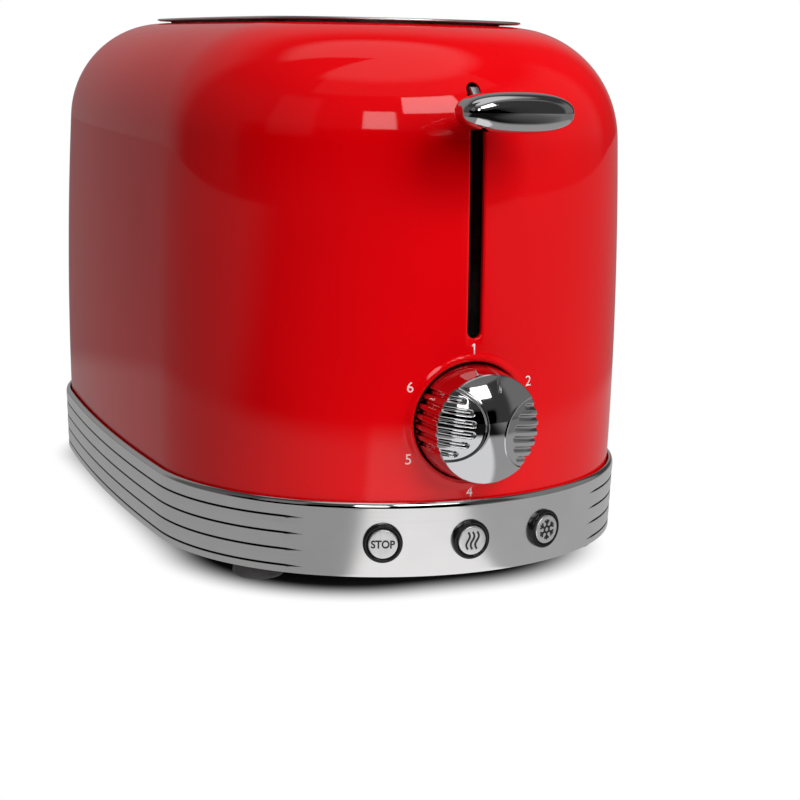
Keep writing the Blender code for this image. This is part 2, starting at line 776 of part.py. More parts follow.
def foot_places():
    # The feet stand inside the plan's four round corners
    x = half_width_at(FOOT_FROM_END) - FOOT_FROM_EDGE
    y = HALF_LENGTH - FOOT_FROM_END
    return {"foot_front_left": (-x, -y), "foot_front_right": (x, -y),
            "foot_rear_left": (-x, y), "foot_rear_right": (x, y)}


def screw_places():
    x = CHASSIS_HALF_WIDTH - CHASSIS_FOOT / 2
    y = CHASSIS_FACE + CHASSIS_FOOT / 2
    return [(-x, -y), (x, -y), (-x, y), (x, y)]


def post_places():
    x = CONTROL_HALF_WIDTH - POST_SIZE / 2
    return [-x, x]


def make_base_plate(parent):
    holes = [circle_loop(place, FOOT_STUD_RADIUS + GAP) for place in foot_places().values()]
    holes += [circle_loop(place, SCREW_RADIUS + GAP) for place in screw_places()]
    for step in range(VENT_COUNT):
        x = (step - (VENT_COUNT - 1) / 2) * VENT_PITCH
        y = -HALF_LENGTH + VENT_FROM_END
        half = VENT_WIDTH / 2
        if min(abs(x - post) for post in post_places()) > POST_SIZE:
            holes.append(rounded_loop((x - half, y - VENT_LENGTH / 2), (x + half, y + VENT_LENGTH / 2),
                                      half, SLOT_FACETS))
    rim = BAND_WALL + BAND_LEAN + GAP
    plate = flat("base_plate", [plan_loop(rim), *holes], BASE_THICK, parent,
                 (0, 0, BASE_BOTTOM + BASE_THICK / 2))
    for side in (-1, 1):
        inner = TRAY_HALF_WIDTH + SLIDE_GAP
        xs = sorted((side * inner, side * (inner + RAIL_WIDTH)))
        rail = box("tray_rail", (xs[0], -CHAMBER_HALF_LENGTH, BASE_BOTTOM + BASE_THICK / 2),
                   (xs[1], CHAMBER_HALF_LENGTH, BASE_TOP + RAIL_HEIGHT), parent)
        join(plate, rail)
    back = -CONTROL_BACK + GAP
    for x in post_places():
        post = box("board_post", (x - POST_SIZE / 2, back, BASE_BOTTOM + BASE_THICK / 2),
                   (x + POST_SIZE / 2, back + POST_SIZE, POST_TOP), parent)
        join(plate, post)
        screw_hole = rod("post_hole", (x, back - OVERRUN, BOARD_SCREW_HEIGHT),
                         (x, back + SCREW_REACH + GAP, BOARD_SCREW_HEIGHT), SCREW_RADIUS + GAP,
                         parent)
        cut(plate, screw_hole)
    return finish(plate, "black_plastic")


def make_feet(parent):
    height = BASE_BOTTOM - GAP
    profile = [(0, height + BASE_THICK), (FOOT_STUD_RADIUS, height + BASE_THICK),
               (FOOT_STUD_RADIUS, height), (FOOT_RADIUS - FOOT_ROUND, height),
               (FOOT_RADIUS, height - FOOT_ROUND), (FOOT_RADIUS, FOOT_ROUND),
               (FOOT_RADIUS - FOOT_ROUND, 0), (0, 0)]
    for name, (x, y) in foot_places().items():
        foot = turned(name, profile, parent, (x, y, 0), sides=FOOT_SIDES)
        finish(foot, "rubber")


def screw_profile(shank):
    return [(0, shank), (SCREW_RADIUS, shank), (SCREW_RADIUS, 0), (SCREW_HEAD_RADIUS, 0),
            (SCREW_HEAD_RADIUS, -SCREW_HEAD_HEIGHT / 2),
            (SCREW_HEAD_RADIUS / 2, -SCREW_HEAD_HEIGHT), (0, -SCREW_HEAD_HEIGHT)]


def make_screws(parent):
    # Pan-head screws: four from below into the chassis feet, two through the control board
    profile = screw_profile(BASE_THICK + CHASSIS_THICK + GAP + SCREW_REACH)
    for number, (x, y) in enumerate(screw_places(), 1):
        screw = turned(f"chassis_screw_{number}", profile, parent, (x, y, BASE_BOTTOM - GAP),
                       sides=SCREW_SIDES)
        finish(screw, "spring_steel")
    profile = screw_profile(CIRCUIT_THICK + GAP + SCREW_REACH)
    for number, x in enumerate(post_places(), 1):
        screw = turned(f"board_screw_{number}", profile, parent,
                       (x, -CONTROL_FRONT - GAP, BOARD_SCREW_HEIGHT), FACING_REAR, SCREW_SIDES)
        finish(screw, "spring_steel")


def chassis_outline():
    # A plate that straddles the crumb tray, with its two legs on the base plate
    half = CHASSIS_HALF_WIDTH
    inner = TRAY_HALF_WIDTH + SLIDE_GAP + RAIL_WIDTH + GAP
    arch = TRAY_TOP + TRAY_HEADROOM
    points = [(-half, CHASSIS_BOTTOM), (-inner, CHASSIS_BOTTOM), (-inner, arch), (inner, arch),
              (inner, CHASSIS_BOTTOM), (half, CHASSIS_BOTTOM)]
    for step in range(CORNER_FACETS + 1):
        angle = step / CORNER_FACETS * pi / 2
        points.append((half - CHASSIS_CORNER + CHASSIS_CORNER * cos(angle),
                       CHASSIS_TOP - CHASSIS_CORNER + CHASSIS_CORNER * sin(angle)))
    for step in range(CORNER_FACETS + 1):
        angle = (1 + step / CORNER_FACETS) * pi / 2
        points.append((-half + CHASSIS_CORNER + CHASSIS_CORNER * cos(angle),
                       CHASSIS_TOP - CHASSIS_CORNER + CHASSIS_CORNER * sin(angle)))
    return points


def make_chassis(name, end, parent):
    loops = [chassis_outline()]
    half = RACK_THICK / 2 + RACK_SLOT_GAP
    for side in (-1, 1):
        x = side * SLOT_OFFSET
        loops.append(rounded_loop((x - half, RACK_LOW - LEVER_END_GAP),
                                  (x + half, RACK_TOP + LEVER_END_GAP), half, SLOT_FACETS))
    middle = end * (CHAMBER_HALF_LENGTH + CHASSIS_THICK / 2)
    plate = flat(name, loops, CHASSIS_THICK, parent, (0, middle, 0), UPRIGHT_XZ)
    face = end * CHASSIS_FACE
    out = end * (CHASSIS_FACE + CHASSIS_FOOT)
    ys = sorted((end * (CHAMBER_HALF_LENGTH + CHASSIS_THICK / 2), out))
    for x, y in screw_places():
        if y * end < 0:
            continue
        foot = box("chassis_foot", (x - CHASSIS_FOOT / 2, ys[0], CHASSIS_BOTTOM),
                   (x + CHASSIS_FOOT / 2, ys[1], CHASSIS_BOTTOM + CHASSIS_THICK), parent)
        join(plate, foot)
        hole = rod("foot_hole", (x, y, CHASSIS_BOTTOM - OVERRUN),
                   (x, y, CHASSIS_BOTTOM + CHASSIS_THICK + OVERRUN), SCREW_RADIUS + GAP, parent)
        cut(plate, hole)
    if end < 0:
        reach = -ROD_Y - TAB_SIDE
        for low in (TAB_BOTTOM, CHASSIS_TOP - CHASSIS_CORNER):
            tab = box("rod_tab", (-SPRING_X - TAB_SIDE, reach, low),
                      (ROD_X + TAB_SIDE, -CHAMBER_HALF_LENGTH - CHASSIS_THICK / 2, low + TAB_THICK),
                      parent)
            join(plate, tab)
            hole = rod("rod_hole", (ROD_X, -ROD_Y, low - OVERRUN),
                       (ROD_X, -ROD_Y, low + TAB_THICK + OVERRUN), ROD_RADIUS + GAP, parent)
            cut(plate, hole)
    return finish(plate, "zinc_sheet")


def make_heat_shields(parent):
    length = CHAMBER_HALF_LENGTH - GAP
    top = CHASSIS_TOP - CHASSIS_CORNER
    for name, side in (("heat_shield_left", -1), ("heat_shield_right", 1)):
        x = side * SHIELD_OFFSET
        half = SHIELD_THICK / 2
        sheet = box(name, (x - half, -length, SHIELD_BOTTOM), (x + half, length, top), parent)
        inward = sorted((x, x - side * SHIELD_FLANGE))
        for low in (SHIELD_BOTTOM, top - SHIELD_THICK):
            flange = box("shield_flange", (inward[0], -length + GAP, low),
                         (inward[1], length - GAP, low + SHIELD_THICK), parent)
            join(sheet, flange)
        finish(sheet, "zinc_sheet")


def make_heating(parent):
    length = CHAMBER_HALF_LENGTH - GAP
    for name, x in (("left", -BOARD_OFFSET), ("middle", 0.0), ("right", BOARD_OFFSET)):
        half = BOARD_THICK / 2
        end = length - WIRE_NOTCH_WIDTH
        outline = [(-length, BOARD_BOTTOM), (-end, BOARD_BOTTOM), (-end, BOARD_BOTTOM + WIRE_FOOT_MARGIN),
                   (end, BOARD_BOTTOM + WIRE_FOOT_MARGIN), (end, BOARD_BOTTOM), (length, BOARD_BOTTOM),
                   (length, BOARD_TOP), (end, BOARD_TOP), (end, BOARD_TOP - WIRE_FOOT_MARGIN),
                   (-end, BOARD_TOP - WIRE_FOOT_MARGIN), (-end, BOARD_TOP), (-length, BOARD_TOP)]
        board = flat("heating_board_" + name, [outline], BOARD_THICK, parent, (x, 0, 0), UPRIGHT_YZ)
        finish(board, "mica")
        away = half + GAP + WIRE_RADIUS
        low = BOARD_BOTTOM + WIRE_FOOT_MARGIN - GAP - WIRE_RADIUS
        high = BOARD_TOP - WIRE_FOOT_MARGIN + GAP + WIRE_RADIUS
        run = end - WIRE_END_MARGIN
        points = []
        for step in range(4 * WIRE_TURNS + 1):
            y = -run + 2 * run * step / (4 * WIRE_TURNS)
            corner = step % 4
            points.append((x + (away if corner in (0, 1) else -away), y,
                           low if corner in (0, 3) else high))
        winding = wire("heating_wire_" + name, points, WIRE_RADIUS, parent)
        finish(winding, "heating_wire")


def make_bread_guards(parent):
    length = CHAMBER_HALF_LENGTH - GAP
    top = CHASSIS_TOP - CHASSIS_CORNER
    names = {("left", "outer"): (-1, 1), ("left", "inner"): (-1, -1),
             ("right", "inner"): (1, -1), ("right", "outer"): (1, 1)}
    for (slot, place), (side, outward) in names.items():
        x = side * (SLOT_OFFSET + outward * GUARD_OFFSET)
        guard = rod("bread_guard_" + slot + "_" + place, (x, -length, GUARD_BOTTOM),
                    (x, length, GUARD_BOTTOM), GUARD_BAR_RADIUS, parent, WIRE_SIDES)
        join(guard, rod("guard_bar", (x, -length, top), (x, length, top), GUARD_BAR_RADIUS, parent,
                        WIRE_SIDES))
        for y in row_places(CHAMBER_HALF_LENGTH - GUARD_END_MARGIN, GUARD_PITCH):
            join(guard, rod("guard_wire", (x, y, GUARD_BOTTOM), (x, y, top), GUARD_WIRE_RADIUS,
                            parent, WIRE_SIDES))
        finish(guard, "spring_steel")


def make_racks(parent, rest):
    # The strips that lift the bread; both ends run in the chassis plates' slots
    front = -BRACKET_BACK + GAP
    back = CHASSIS_FACE + RACK_TAIL
    for name, side in (("bread_rack_left", -1), ("bread_rack_right", 1)):
        x = side * SLOT_OFFSET
        half = RACK_THICK / 2
        strip = box(name, (x - half, front, RACK_BOTTOM - rest), (x + half, back, RACK_TOP - rest),
                    parent)
        for y in row_places(CHAMBER_HALF_LENGTH - FINGER_END_MARGIN, FINGER_PITCH):
            low = RACK_TOP - FINGER_THICK / 2 - rest
            finger = box("rack_finger", (x - FINGER_HALF_WIDTH, y - FINGER_LENGTH / 2, low),
                         (x + FINGER_HALF_WIDTH, y + FINGER_LENGTH / 2, low + FINGER_THICK), parent)
            join(strip, finger)
        finish(strip, "spring_steel")


def make_bracket(parent, rest):
    low = RACK_BOTTOM - rest
    shoulder = low + BRACKET_FOOT
    top = ARM_TOP - rest
    half = BRACKET_HALF_WIDTH
    column = BRACKET_COLUMN
    outline = [(-half, low), (half, low), (half, shoulder - BRACKET_CORNER),
               (half - BRACKET_CORNER, shoulder), (column, shoulder), (column, top - BRACKET_CORNER),
               (column - BRACKET_CORNER, top), (-column + BRACKET_CORNER, top),
               (-column, top - BRACKET_CORNER), (-column, shoulder), (-half + BRACKET_CORNER, shoulder),
               (-half, shoulder - BRACKET_CORNER)]
    middle = -BRACKET_BACK - BRACKET_THICK / 2
    plate = flat("carriage_bracket", [outline], BRACKET_THICK, parent, (0, middle, 0), UPRIGHT_XZ)
    for base in (low, top - EYE_HEIGHT):
        web = box("eye_web", (ROD_X - EYE_RADIUS / 2, -ROD_Y, base),
                  (ROD_X + EYE_RADIUS / 2, middle, base + EYE_HEIGHT), parent)
        join(plate, web)
        join(plate, rod("eye", (ROD_X, -ROD_Y, base), (ROD_X, -ROD_Y, base + EYE_HEIGHT), EYE_RADIUS,
                        parent))
    bore = rod("eye_bore", (ROD_X, -ROD_Y, low - OVERRUN), (ROD_X, -ROD_Y, top + OVERRUN),
               ROD_RADIUS + GAP, parent)
    cut(plate, bore)
    reach = SPRING_RADIUS + SPRING_WIRE
    shelf = box("spring_shelf", (-SPRING_X - reach, -ROD_Y - reach, low),
                (-SPRING_X + reach, middle, low + SHELF_THICK), parent)
    join(plate, shelf)
    return finish(plate, "zinc_sheet")


def make_keeper(parent, rest):
    low = RACK_BOTTOM - rest
    half = KEEPER_SIZE / 2
    keeper = box("latch_keeper", (-KEEPER_X - half, -BRACKET_FRONT - GAP - KEEPER_SIZE, low),
                 (-KEEPER_X + half, -BRACKET_FRONT - GAP, low + KEEPER_THICK), parent)
    return finish(keeper, "spring_steel")


def make_lever_arm(parent, rest):
    root = -BRACKET_FRONT - GAP
    tip = -HALF_LENGTH - LEVER_KNOB_REAR - LEVER_SOCKET_DEPTH + GAP
    neck = -HALF_LENGTH + 2 * LEVER_KNOB_REAR
    low = ARM_BOTTOM - rest
    high = ARM_TOP - rest
    slim = (ARM_HEIGHT - ARM_TIP_HEIGHT) / 2
    outline = [(root, low), (root, high), (neck, high), (neck - slim, high - slim),
               (tip, high - slim), (tip, low + slim), (neck - slim, low + slim), (neck, low)]
    arm = flat("lever_arm", [outline], ARM_THICK, parent, (0, 0, 0), UPRIGHT_YZ)
    return finish(arm, "zinc_sheet")


def make_lever_knob(parent, rest):
    rear = -HALF_LENGTH - LEVER_KNOB_REAR
    face = -LEVER_KNOB_FACE
    half = LEVER_KNOB_HALF_WIDTH
    root = LEVER_KNOB_ROOT_HALF_WIDTH
    corner = LEVER_KNOB_CORNER
    outline = [(-root, rear), (-half, face + 2 * corner)]
    for step in range(CORNER_FACETS + 1):
        angle = pi + step / CORNER_FACETS * pi / 2
        outline.append((-half + corner + corner * cos(angle), face + corner + corner * sin(angle)))
    outline += [(-x, y) for x, y in reversed(outline)]
    middle = (ARM_BOTTOM + ARM_TOP) / 2 - rest
    knob = flat("lever_knob", [outline], LEVER_KNOB_HEIGHT, parent, (0, 0, middle))
    bevel(knob, LEVER_KNOB_EDGE, LEVER_EDGE_STEPS)
    half_arm = ARM_THICK / 2 + GAP
    half_tip = ARM_TIP_HEIGHT / 2 + GAP
    socket = box("lever_socket", (-half_arm, rear - LEVER_SOCKET_DEPTH, middle - half_tip),
                 (half_arm, rear + OVERRUN, middle + half_tip), parent)
    cut(knob, socket)
    return finish(knob, "chrome", True)


def make_guide_rod(parent):
    low = TAB_BOTTOM - ROD_TAIL
    high = CHASSIS_TOP - CHASSIS_CORNER + TAB_THICK + ROD_TAIL
    piece = rod("guide_rod", (ROD_X, -ROD_Y, low), (ROD_X, -ROD_Y, high), ROD_RADIUS, parent)
    return finish(piece, "spring_steel", True)


def make_spring(parent):
    # A tension spring from the bracket's shelf to the upper tab, with straight ends
    low = RACK_BOTTOM + SHELF_THICK + GAP
    high = CHASSIS_TOP - CHASSIS_CORNER - GAP
    points = [(-SPRING_X + SPRING_RADIUS, -ROD_Y, low)]
    steps = SPRING_TURNS * COIL_STEPS
    for step in range(steps + 1):
        angle = 2 * pi * step / COIL_STEPS
        height = low + SPRING_END + (high - low - 2 * SPRING_END) * step / steps
        points.append((-SPRING_X + SPRING_RADIUS * cos(angle), -ROD_Y + SPRING_RADIUS * sin(angle),
                       height))
    points.append((-SPRING_X + SPRING_RADIUS, -ROD_Y, high))
    return finish(wire("lift_spring", points, SPRING_WIRE, parent), "spring_steel")


def make_magnet(parent):
    top = RACK_LOW - KEEPER_AIR
    y = -BRACKET_FRONT - GAP - KEEPER_SIZE / 2
    half_width = MAGNET_WIDTH / 2
    half_depth = MAGNET_DEPTH / 2
    low = BASE_TOP + GAP
    yoke = box("electromagnet", (-KEEPER_X - half_width, y - half_depth, low),
               (-KEEPER_X + half_width, y + half_depth, low + MAGNET_YOKE), parent)
    join(yoke, rod("coil", (-KEEPER_X, y, low + MAGNET_YOKE / 2), (-KEEPER_X, y, top - MAGNET_YOKE),
                   COIL_RADIUS, parent))
    join(yoke, rod("core", (-KEEPER_X, y, low + MAGNET_YOKE / 2), (-KEEPER_X, y, top), CORE_RADIUS,
                   parent))
    return finish(yoke, "copper")


def make_control_board(parent):
    loop = rounded_loop((-CONTROL_HALF_WIDTH, CONTROL_BOTTOM), (CONTROL_HALF_WIDTH, CONTROL_TOP),
                        POST_SIZE / 2)
    holes = [circle_loop((x, BOARD_SCREW_HEIGHT), SCREW_RADIUS + GAP) for x in post_places()]
    board = flat("control_board", [loop, *holes], CIRCUIT_THICK, parent,
                 (0, -(CONTROL_BACK + CONTROL_FRONT) / 2, 0), UPRIGHT_XZ)
    return finish(board, "circuit_green")


def make_potentiometer(parent):
    bore = SHAFT_RADIUS + RUN_GAP
    depth = POT_DEPTH
    nose = depth + BUSHING_DEPTH
    floor = nose - SHAFT_IN_BUSHING
    profile = [(bore, nose), (BUSHING_RADIUS, nose), (BUSHING_RADIUS, depth), (POT_RADIUS, depth),
               (POT_RADIUS, 0), (0, 0)]
    profile = [(0, floor), (bore, floor), *profile]
    pot = turned("potentiometer", profile, parent, (0, -CONTROL_FRONT - GAP, KNOB_HEIGHT),
                 FACING_FRONT)
    return finish(pot, "zinc_sheet")


def make_knob_shaft(parent):
    # From inside the bushing to inside the knob; the parent lies on the shell's tangent plane
    bushing_face = CONTROL_FRONT + GAP + POT_DEPTH + BUSHING_DEPTH
    start = FRONT_TANGENT - bushing_face + SHAFT_IN_BUSHING - GAP
    end = KNOB_SINK - SHAFT_GRIP
    shaft = rod("knob_shaft", (0, start, 0), (0, end, 0), SHAFT_RADIUS, parent, ROUND_SIDES)
    return finish(shaft, "zinc_sheet", True)


def dome_reach(radius):
    # The face's dome: a sphere through the rim and the middle
    rise = KNOB_DOME_REACH - KNOB_RIM_REACH
    sphere = (KNOB_RIM_RADIUS ** 2 + rise ** 2) / (2 * rise)
    return KNOB_DOME_REACH - sphere + sqrt(sphere ** 2 - radius ** 2)


def side_radius(reach):
    # The side wall's taper from the base to the rim
    return KNOB_BASE_RADIUS + (KNOB_RIM_RADIUS - KNOB_BASE_RADIUS) * reach / KNOB_RIM_REACH


def make_pad_cutter(side, parent):
    # A round bar along the knob's axis, less a core whose dome lies one step below the knob's own;
    # the core's facets are turned by half of one, so that no edge of it lies on an edge of the knob
    centre = side * (PAD_WEB_HALF_WIDTH + PAD_RADIUS)
    low = KNOB_RIM_REACH - PAD_STEP
    bar = rod("pad_cutter", (centre, -KNOB_DOME_REACH - OVERRUN, 0), (centre, OVERRUN - low, 0),
              PAD_RADIUS, parent, KNOB_SIDES)
    profile = [(0, KNOB_DOME_REACH - PAD_STEP)]
    for step in range(1, KNOB_DOME_STEPS + 1):
        radius = KNOB_RIM_RADIUS * step / KNOB_DOME_STEPS
        profile.append((radius, dome_reach(radius) - PAD_STEP))
    profile += [(2 * KNOB_RIM_RADIUS, low), (2 * KNOB_RIM_RADIUS, 0), (0, 0)]
    core = turned("pad_core", profile, parent, (0, 0, 0), (radians(90), pi / KNOB_SIDES, 0), KNOB_SIDES)
    return cut(bar, core)


def groove_outline(start, offset, depth, sunk):
    # A groove in a plane beside the axis: over the dome, lowered by sunk, then down the side wall
    def face(x):
        return dome_reach(hypot(x, offset)) - sunk - depth

    def wall(reach):
        return sqrt(side_radius(reach) ** 2 - offset ** 2)

    high = KNOB_DOME_REACH + OVERRUN
    low = -GROOVE_SINK
    edge = wall(KNOB_RIM_REACH)
    turn = edge - 2 * depth
    middle = (start + turn) / 2
    return [(start, high), (start, face(start) + depth), (start + depth, face(start + depth)),
            (middle, face(middle)), (turn, face(turn)), (edge - depth, face(edge) - depth),
            (wall(low) - depth, low), (wall(low) + OVERRUN, low), (wall(low) + OVERRUN, high)]


def make_flute_cutter(side, offset, parent):
    start = PAD_WEB_HALF_WIDTH + PAD_RADIUS - sqrt(PAD_RADIUS ** 2 - offset ** 2) + FLUTE_INSET
    outline = [(side * x, reach) for x, reach in groove_outline(start, offset, FLUTE_DEPTH, PAD_STEP)]
    return flat("flute_cutter", [outline], FLUTE_WIDTH, parent, (0, 0, offset), (radians(180), 0, 0))


def make_browning_knob(parent):
    # The knob is made with its pointer up; its axis carries the turn that the photo shows
    profile = [(0, KNOB_DOME_REACH)]
    face_radius = KNOB_RIM_RADIUS - KNOB_EDGE
    for step in range(1, KNOB_DOME_STEPS + 1):
        radius = face_radius * step / KNOB_DOME_STEPS
        profile.append((radius, dome_reach(radius)))
    low = KNOB_RIM_REACH - KNOB_EDGE
    profile += [(side_radius(KNOB_RIM_REACH) - KNOB_EDGE / 4, KNOB_RIM_REACH - KNOB_EDGE / 4),
                (side_radius(low), low), (side_radius(0), 0), (side_radius(0), -KNOB_SINK),
                (0, -KNOB_SINK)]
    knob = turned("browning_knob", profile, parent, (0, 0, 0), FACING_FRONT, KNOB_SIDES)
    for side in (-1, 1):
        cut(knob, make_pad_cutter(side, parent))
        for step in range(FLUTE_COUNT):
            offset = (step - (FLUTE_COUNT - 1) / 2) * FLUTE_PITCH
            cut(knob, make_flute_cutter(side, offset, parent))
    outline = groove_outline(KNOB_RIM_RADIUS - POINTER_LENGTH, 0, POINTER_DEPTH, 0)
    cut(knob, flat("pointer_cutter", [outline], POINTER_WIDTH, parent, (0, 0, 0),
                   (radians(180), radians(-90), 0)))
    socket = rod("shaft_socket", (0, KNOB_SINK + OVERRUN, 0), (0, KNOB_SINK - SHAFT_GRIP - GAP, 0),
                 SHAFT_RADIUS + GAP, parent)
    cut(knob, socket)
    return finish(knob, "chrome", True)


def make_button(name, turn, root):
    x, y, z = button_place(turn)
    axes = empty_at("button_axis_" + name, (x, y, z), root, turn)
    proud = BUTTON_RING_PROUD
    bore = BUTTON_CAP_RADIUS + SLIDE_GAP
    ring = [(bore, proud - BUTTON_RING_ROUND), (bore + BUTTON_RING_ROUND / 2, proud),
            (BUTTON_RING_RADIUS - BUTTON_RING_ROUND, proud),
            (BUTTON_RING_RADIUS, proud - BUTTON_RING_ROUND), (BUTTON_RING_RADIUS, GAP),
            (BUTTON_BARREL_RADIUS, GAP), (BUTTON_BARREL_RADIUS, -BUTTON_BARREL_DEPTH),
            (bore, -BUTTON_BARREL_DEPTH)]
    finish(turned("button_ring_" + name, ring, axes, (0, 0, 0), FACING_FRONT, closed=True),
           "gloss_black")
    top = BUTTON_CAP_PROUD
    cap = [(0, top), (BUTTON_CAP_RADIUS - BUTTON_CAP_ROUND, top),
           (BUTTON_CAP_RADIUS, top - BUTTON_CAP_ROUND), (BUTTON_CAP_RADIUS, -BUTTON_CAP_DEPTH),
           (BUTTON_STEM_RADIUS, -BUTTON_CAP_DEPTH), (BUTTON_STEM_RADIUS, -BUTTON_STEM_REACH),
           (0, -BUTTON_STEM_REACH)]
    finish(turned("button_" + name, cap, axes, (0, 0, 0), FACING_FRONT), "silver_paint")
    front = BUTTON_STEM_REACH + BUTTON_TRAVEL + GAP
    low = BASE_TOP + GAP + CIRCUIT_THICK + GAP - z
    half = SWITCH_WIDTH / 2
    finish(box("switch_" + name, (-half, front, low), (half, front + SWITCH_DEPTH, SWITCH_TOP - z),
               axes), "black_plastic")


def make_button_board(parent):
    loop = []
    for step in range(BUTTON_BOARD_STEPS + 1):
        angle = BUTTON_BOARD_ANGLE * (2 * step / BUTTON_BOARD_STEPS - 1)
        reach = NOSE_RADIUS - BUTTON_BOARD_INSET
        loop.append((reach * sin(angle), -HALF_LENGTH + NOSE_RADIUS - reach * cos(angle)))
    back = -HALF_LENGTH + BUTTON_BOARD_BACK
    loop += [(loop[-1][0], back), (loop[0][0], back)]
    board = flat("button_board", [loop], CIRCUIT_THICK, parent,
                 (0, 0, BASE_TOP + GAP + CIRCUIT_THICK / 2))
    return finish(board, "circuit_green")


def make_grommet(parent):
    proud = GROMMET_PROUD
    profile = [(GROMMET_BORE, proud), (GROMMET_BARREL, proud), (GROMMET_RADIUS, proud / 2),
               (GROMMET_RADIUS, GAP), (GROMMET_BARREL, GAP), (GROMMET_BARREL, -GROMMET_DEPTH),
               (GROMMET_BORE, -GROMMET_DEPTH)]
    grommet = turned("cord_grommet", profile, parent, (0, HALF_LENGTH, GROMMET_HEIGHT), FACING_REAR,
                     closed=True)
    return finish(grommet, "rubber")


def make_terminal_block(parent):
    y = HALF_LENGTH - TERMINAL_FROM_END
    low = BASE_TOP + GAP
    block = box("terminal_block", (-TERMINAL_X - TERMINAL_WIDTH / 2, y - TERMINAL_LENGTH / 2, low),
                (-TERMINAL_X + TERMINAL_WIDTH / 2, y + TERMINAL_LENGTH / 2, low + TERMINAL_HEIGHT),
                parent)
    for shift in (-1, 0, 1):
        place = y + shift * TERMINAL_LENGTH / 3
        height = low + TERMINAL_HEIGHT / 2
        hole = rod("terminal_hole", (-TERMINAL_X - TERMINAL_WIDTH, place, height),
                   (-TERMINAL_X + TERMINAL_WIDTH, place, height), TERMINAL_BORE, parent)
        cut(block, hole)
    return finish(block, "ivory_plastic")


def make_tray(parent):
    # The pan slides on the base plate between its rails; the parent lies at the tray's own place
    front = -CHAMBER_HALF_LENGTH
    back = grip_back()
    half = TRAY_HALF_WIDTH
    pan = box("crumb_tray", (-half, front, TRAY_BOTTOM), (half, back - GAP, TRAY_TOP), parent)
    hollow = box("tray_hollow", (-half + TRAY_WALL, front + TRAY_WALL, TRAY_BOTTOM + TRAY_WALL),
                 (half - TRAY_WALL, back - GAP - TRAY_WALL, TRAY_TOP + OVERRUN), parent)
    cut(pan, hollow)
    return finish(pan, "brushed_steel")


def grip_back():
    reach = NOSE_RADIUS + GRIP_PROUD
    return HALF_LENGTH - NOSE_RADIUS + reach * cos(GRIP_ANGLE) - GRIP_ROOT


def make_tray_grip(parent):
    # A plastic bar that follows the band's curve, with a tab for the fingers
    reach = NOSE_RADIUS + GRIP_PROUD
    loop = []
    for step in range(GRIP_STEPS + 1):
        angle = GRIP_ANGLE * (1 - 2 * step / GRIP_STEPS)
        loop.append((reach * sin(angle), HALF_LENGTH - NOSE_RADIUS + reach * cos(angle)))
    loop += [(loop[-1][0], grip_back()), (loop[0][0], grip_back())]
    grip = flat("tray_grip", [loop], TRAY_HEIGHT, parent, (0, 0, TRAY_BOTTOM + TRAY_HEIGHT / 2))
    tab = flat("grip_tab", [rounded_loop((-GRIP_TAB_HALF_WIDTH, GRIP_FACE - 3 * GRIP_TAB_CORNER),
                                         (GRIP_TAB_HALF_WIDTH, GRIP_FACE), GRIP_TAB_CORNER)],
               TRAY_HEIGHT * GRIP_TAB_SHARE, parent, (0, 0, TRAY_BOTTOM + TRAY_HEIGHT / 2))
    join(grip, tab)
    return finish(grip, "black_plastic")


clear_scene()
PARTS = new_collection("toaster")
TOOLS = new_collection("cutters")


def build():
    root = empty_at("body_axes", (0, ORIGIN_SHIFT, 0))
    make_outer_shell(root)
    make_top_plate(root)
    make_base_band(root)
    make_base_plate(root)
    make_feet(root)
    make_screws(root)
    make_chassis("front_chassis", -1, root)
    make_chassis("rear_chassis", 1, root)
    make_heat_shields(root)
    make_heating(root)
    make_bread_guards(root)
    make_guide_rod(root)
    make_spring(root)
    make_magnet(root)
    make_control_board(root)
    make_potentiometer(root)
    make_button_board(root)
    make_grommet(root)
    make_terminal_block(root)
    carriage = empty_at("carriage_axis", (0, 0, ARM_BOTTOM), root)
    make_bracket(carriage, ARM_BOTTOM)
    make_racks(carriage, ARM_BOTTOM)
    make_keeper(carriage, ARM_BOTTOM)
    make_lever_arm(carriage, ARM_BOTTOM)
    make_lever_knob(carriage, ARM_BOTTOM)
    knob_axis = empty_at("knob_axis", (0, -FRONT_TANGENT, KNOB_HEIGHT), root)
    knob_axis.rotation_euler = (0, KNOB_TURN, 0)
    make_knob_shaft(knob_axis)
    make_browning_knob(knob_axis)
    for name, turn in button_turns().items():
        make_button(name, turn, root)
    tray_axis = empty_at("tray_axis", (0, 0, 0), root)
    make_tray(tray_axis)
    make_tray_grip(tray_axis)


build()
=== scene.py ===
import json
from math import asin, atan2, cos, hypot, pi, radians, sin, sqrt, tan

import bmesh
import bpy
import numpy as np
from mathutils import Matrix, Quaternion, Vector

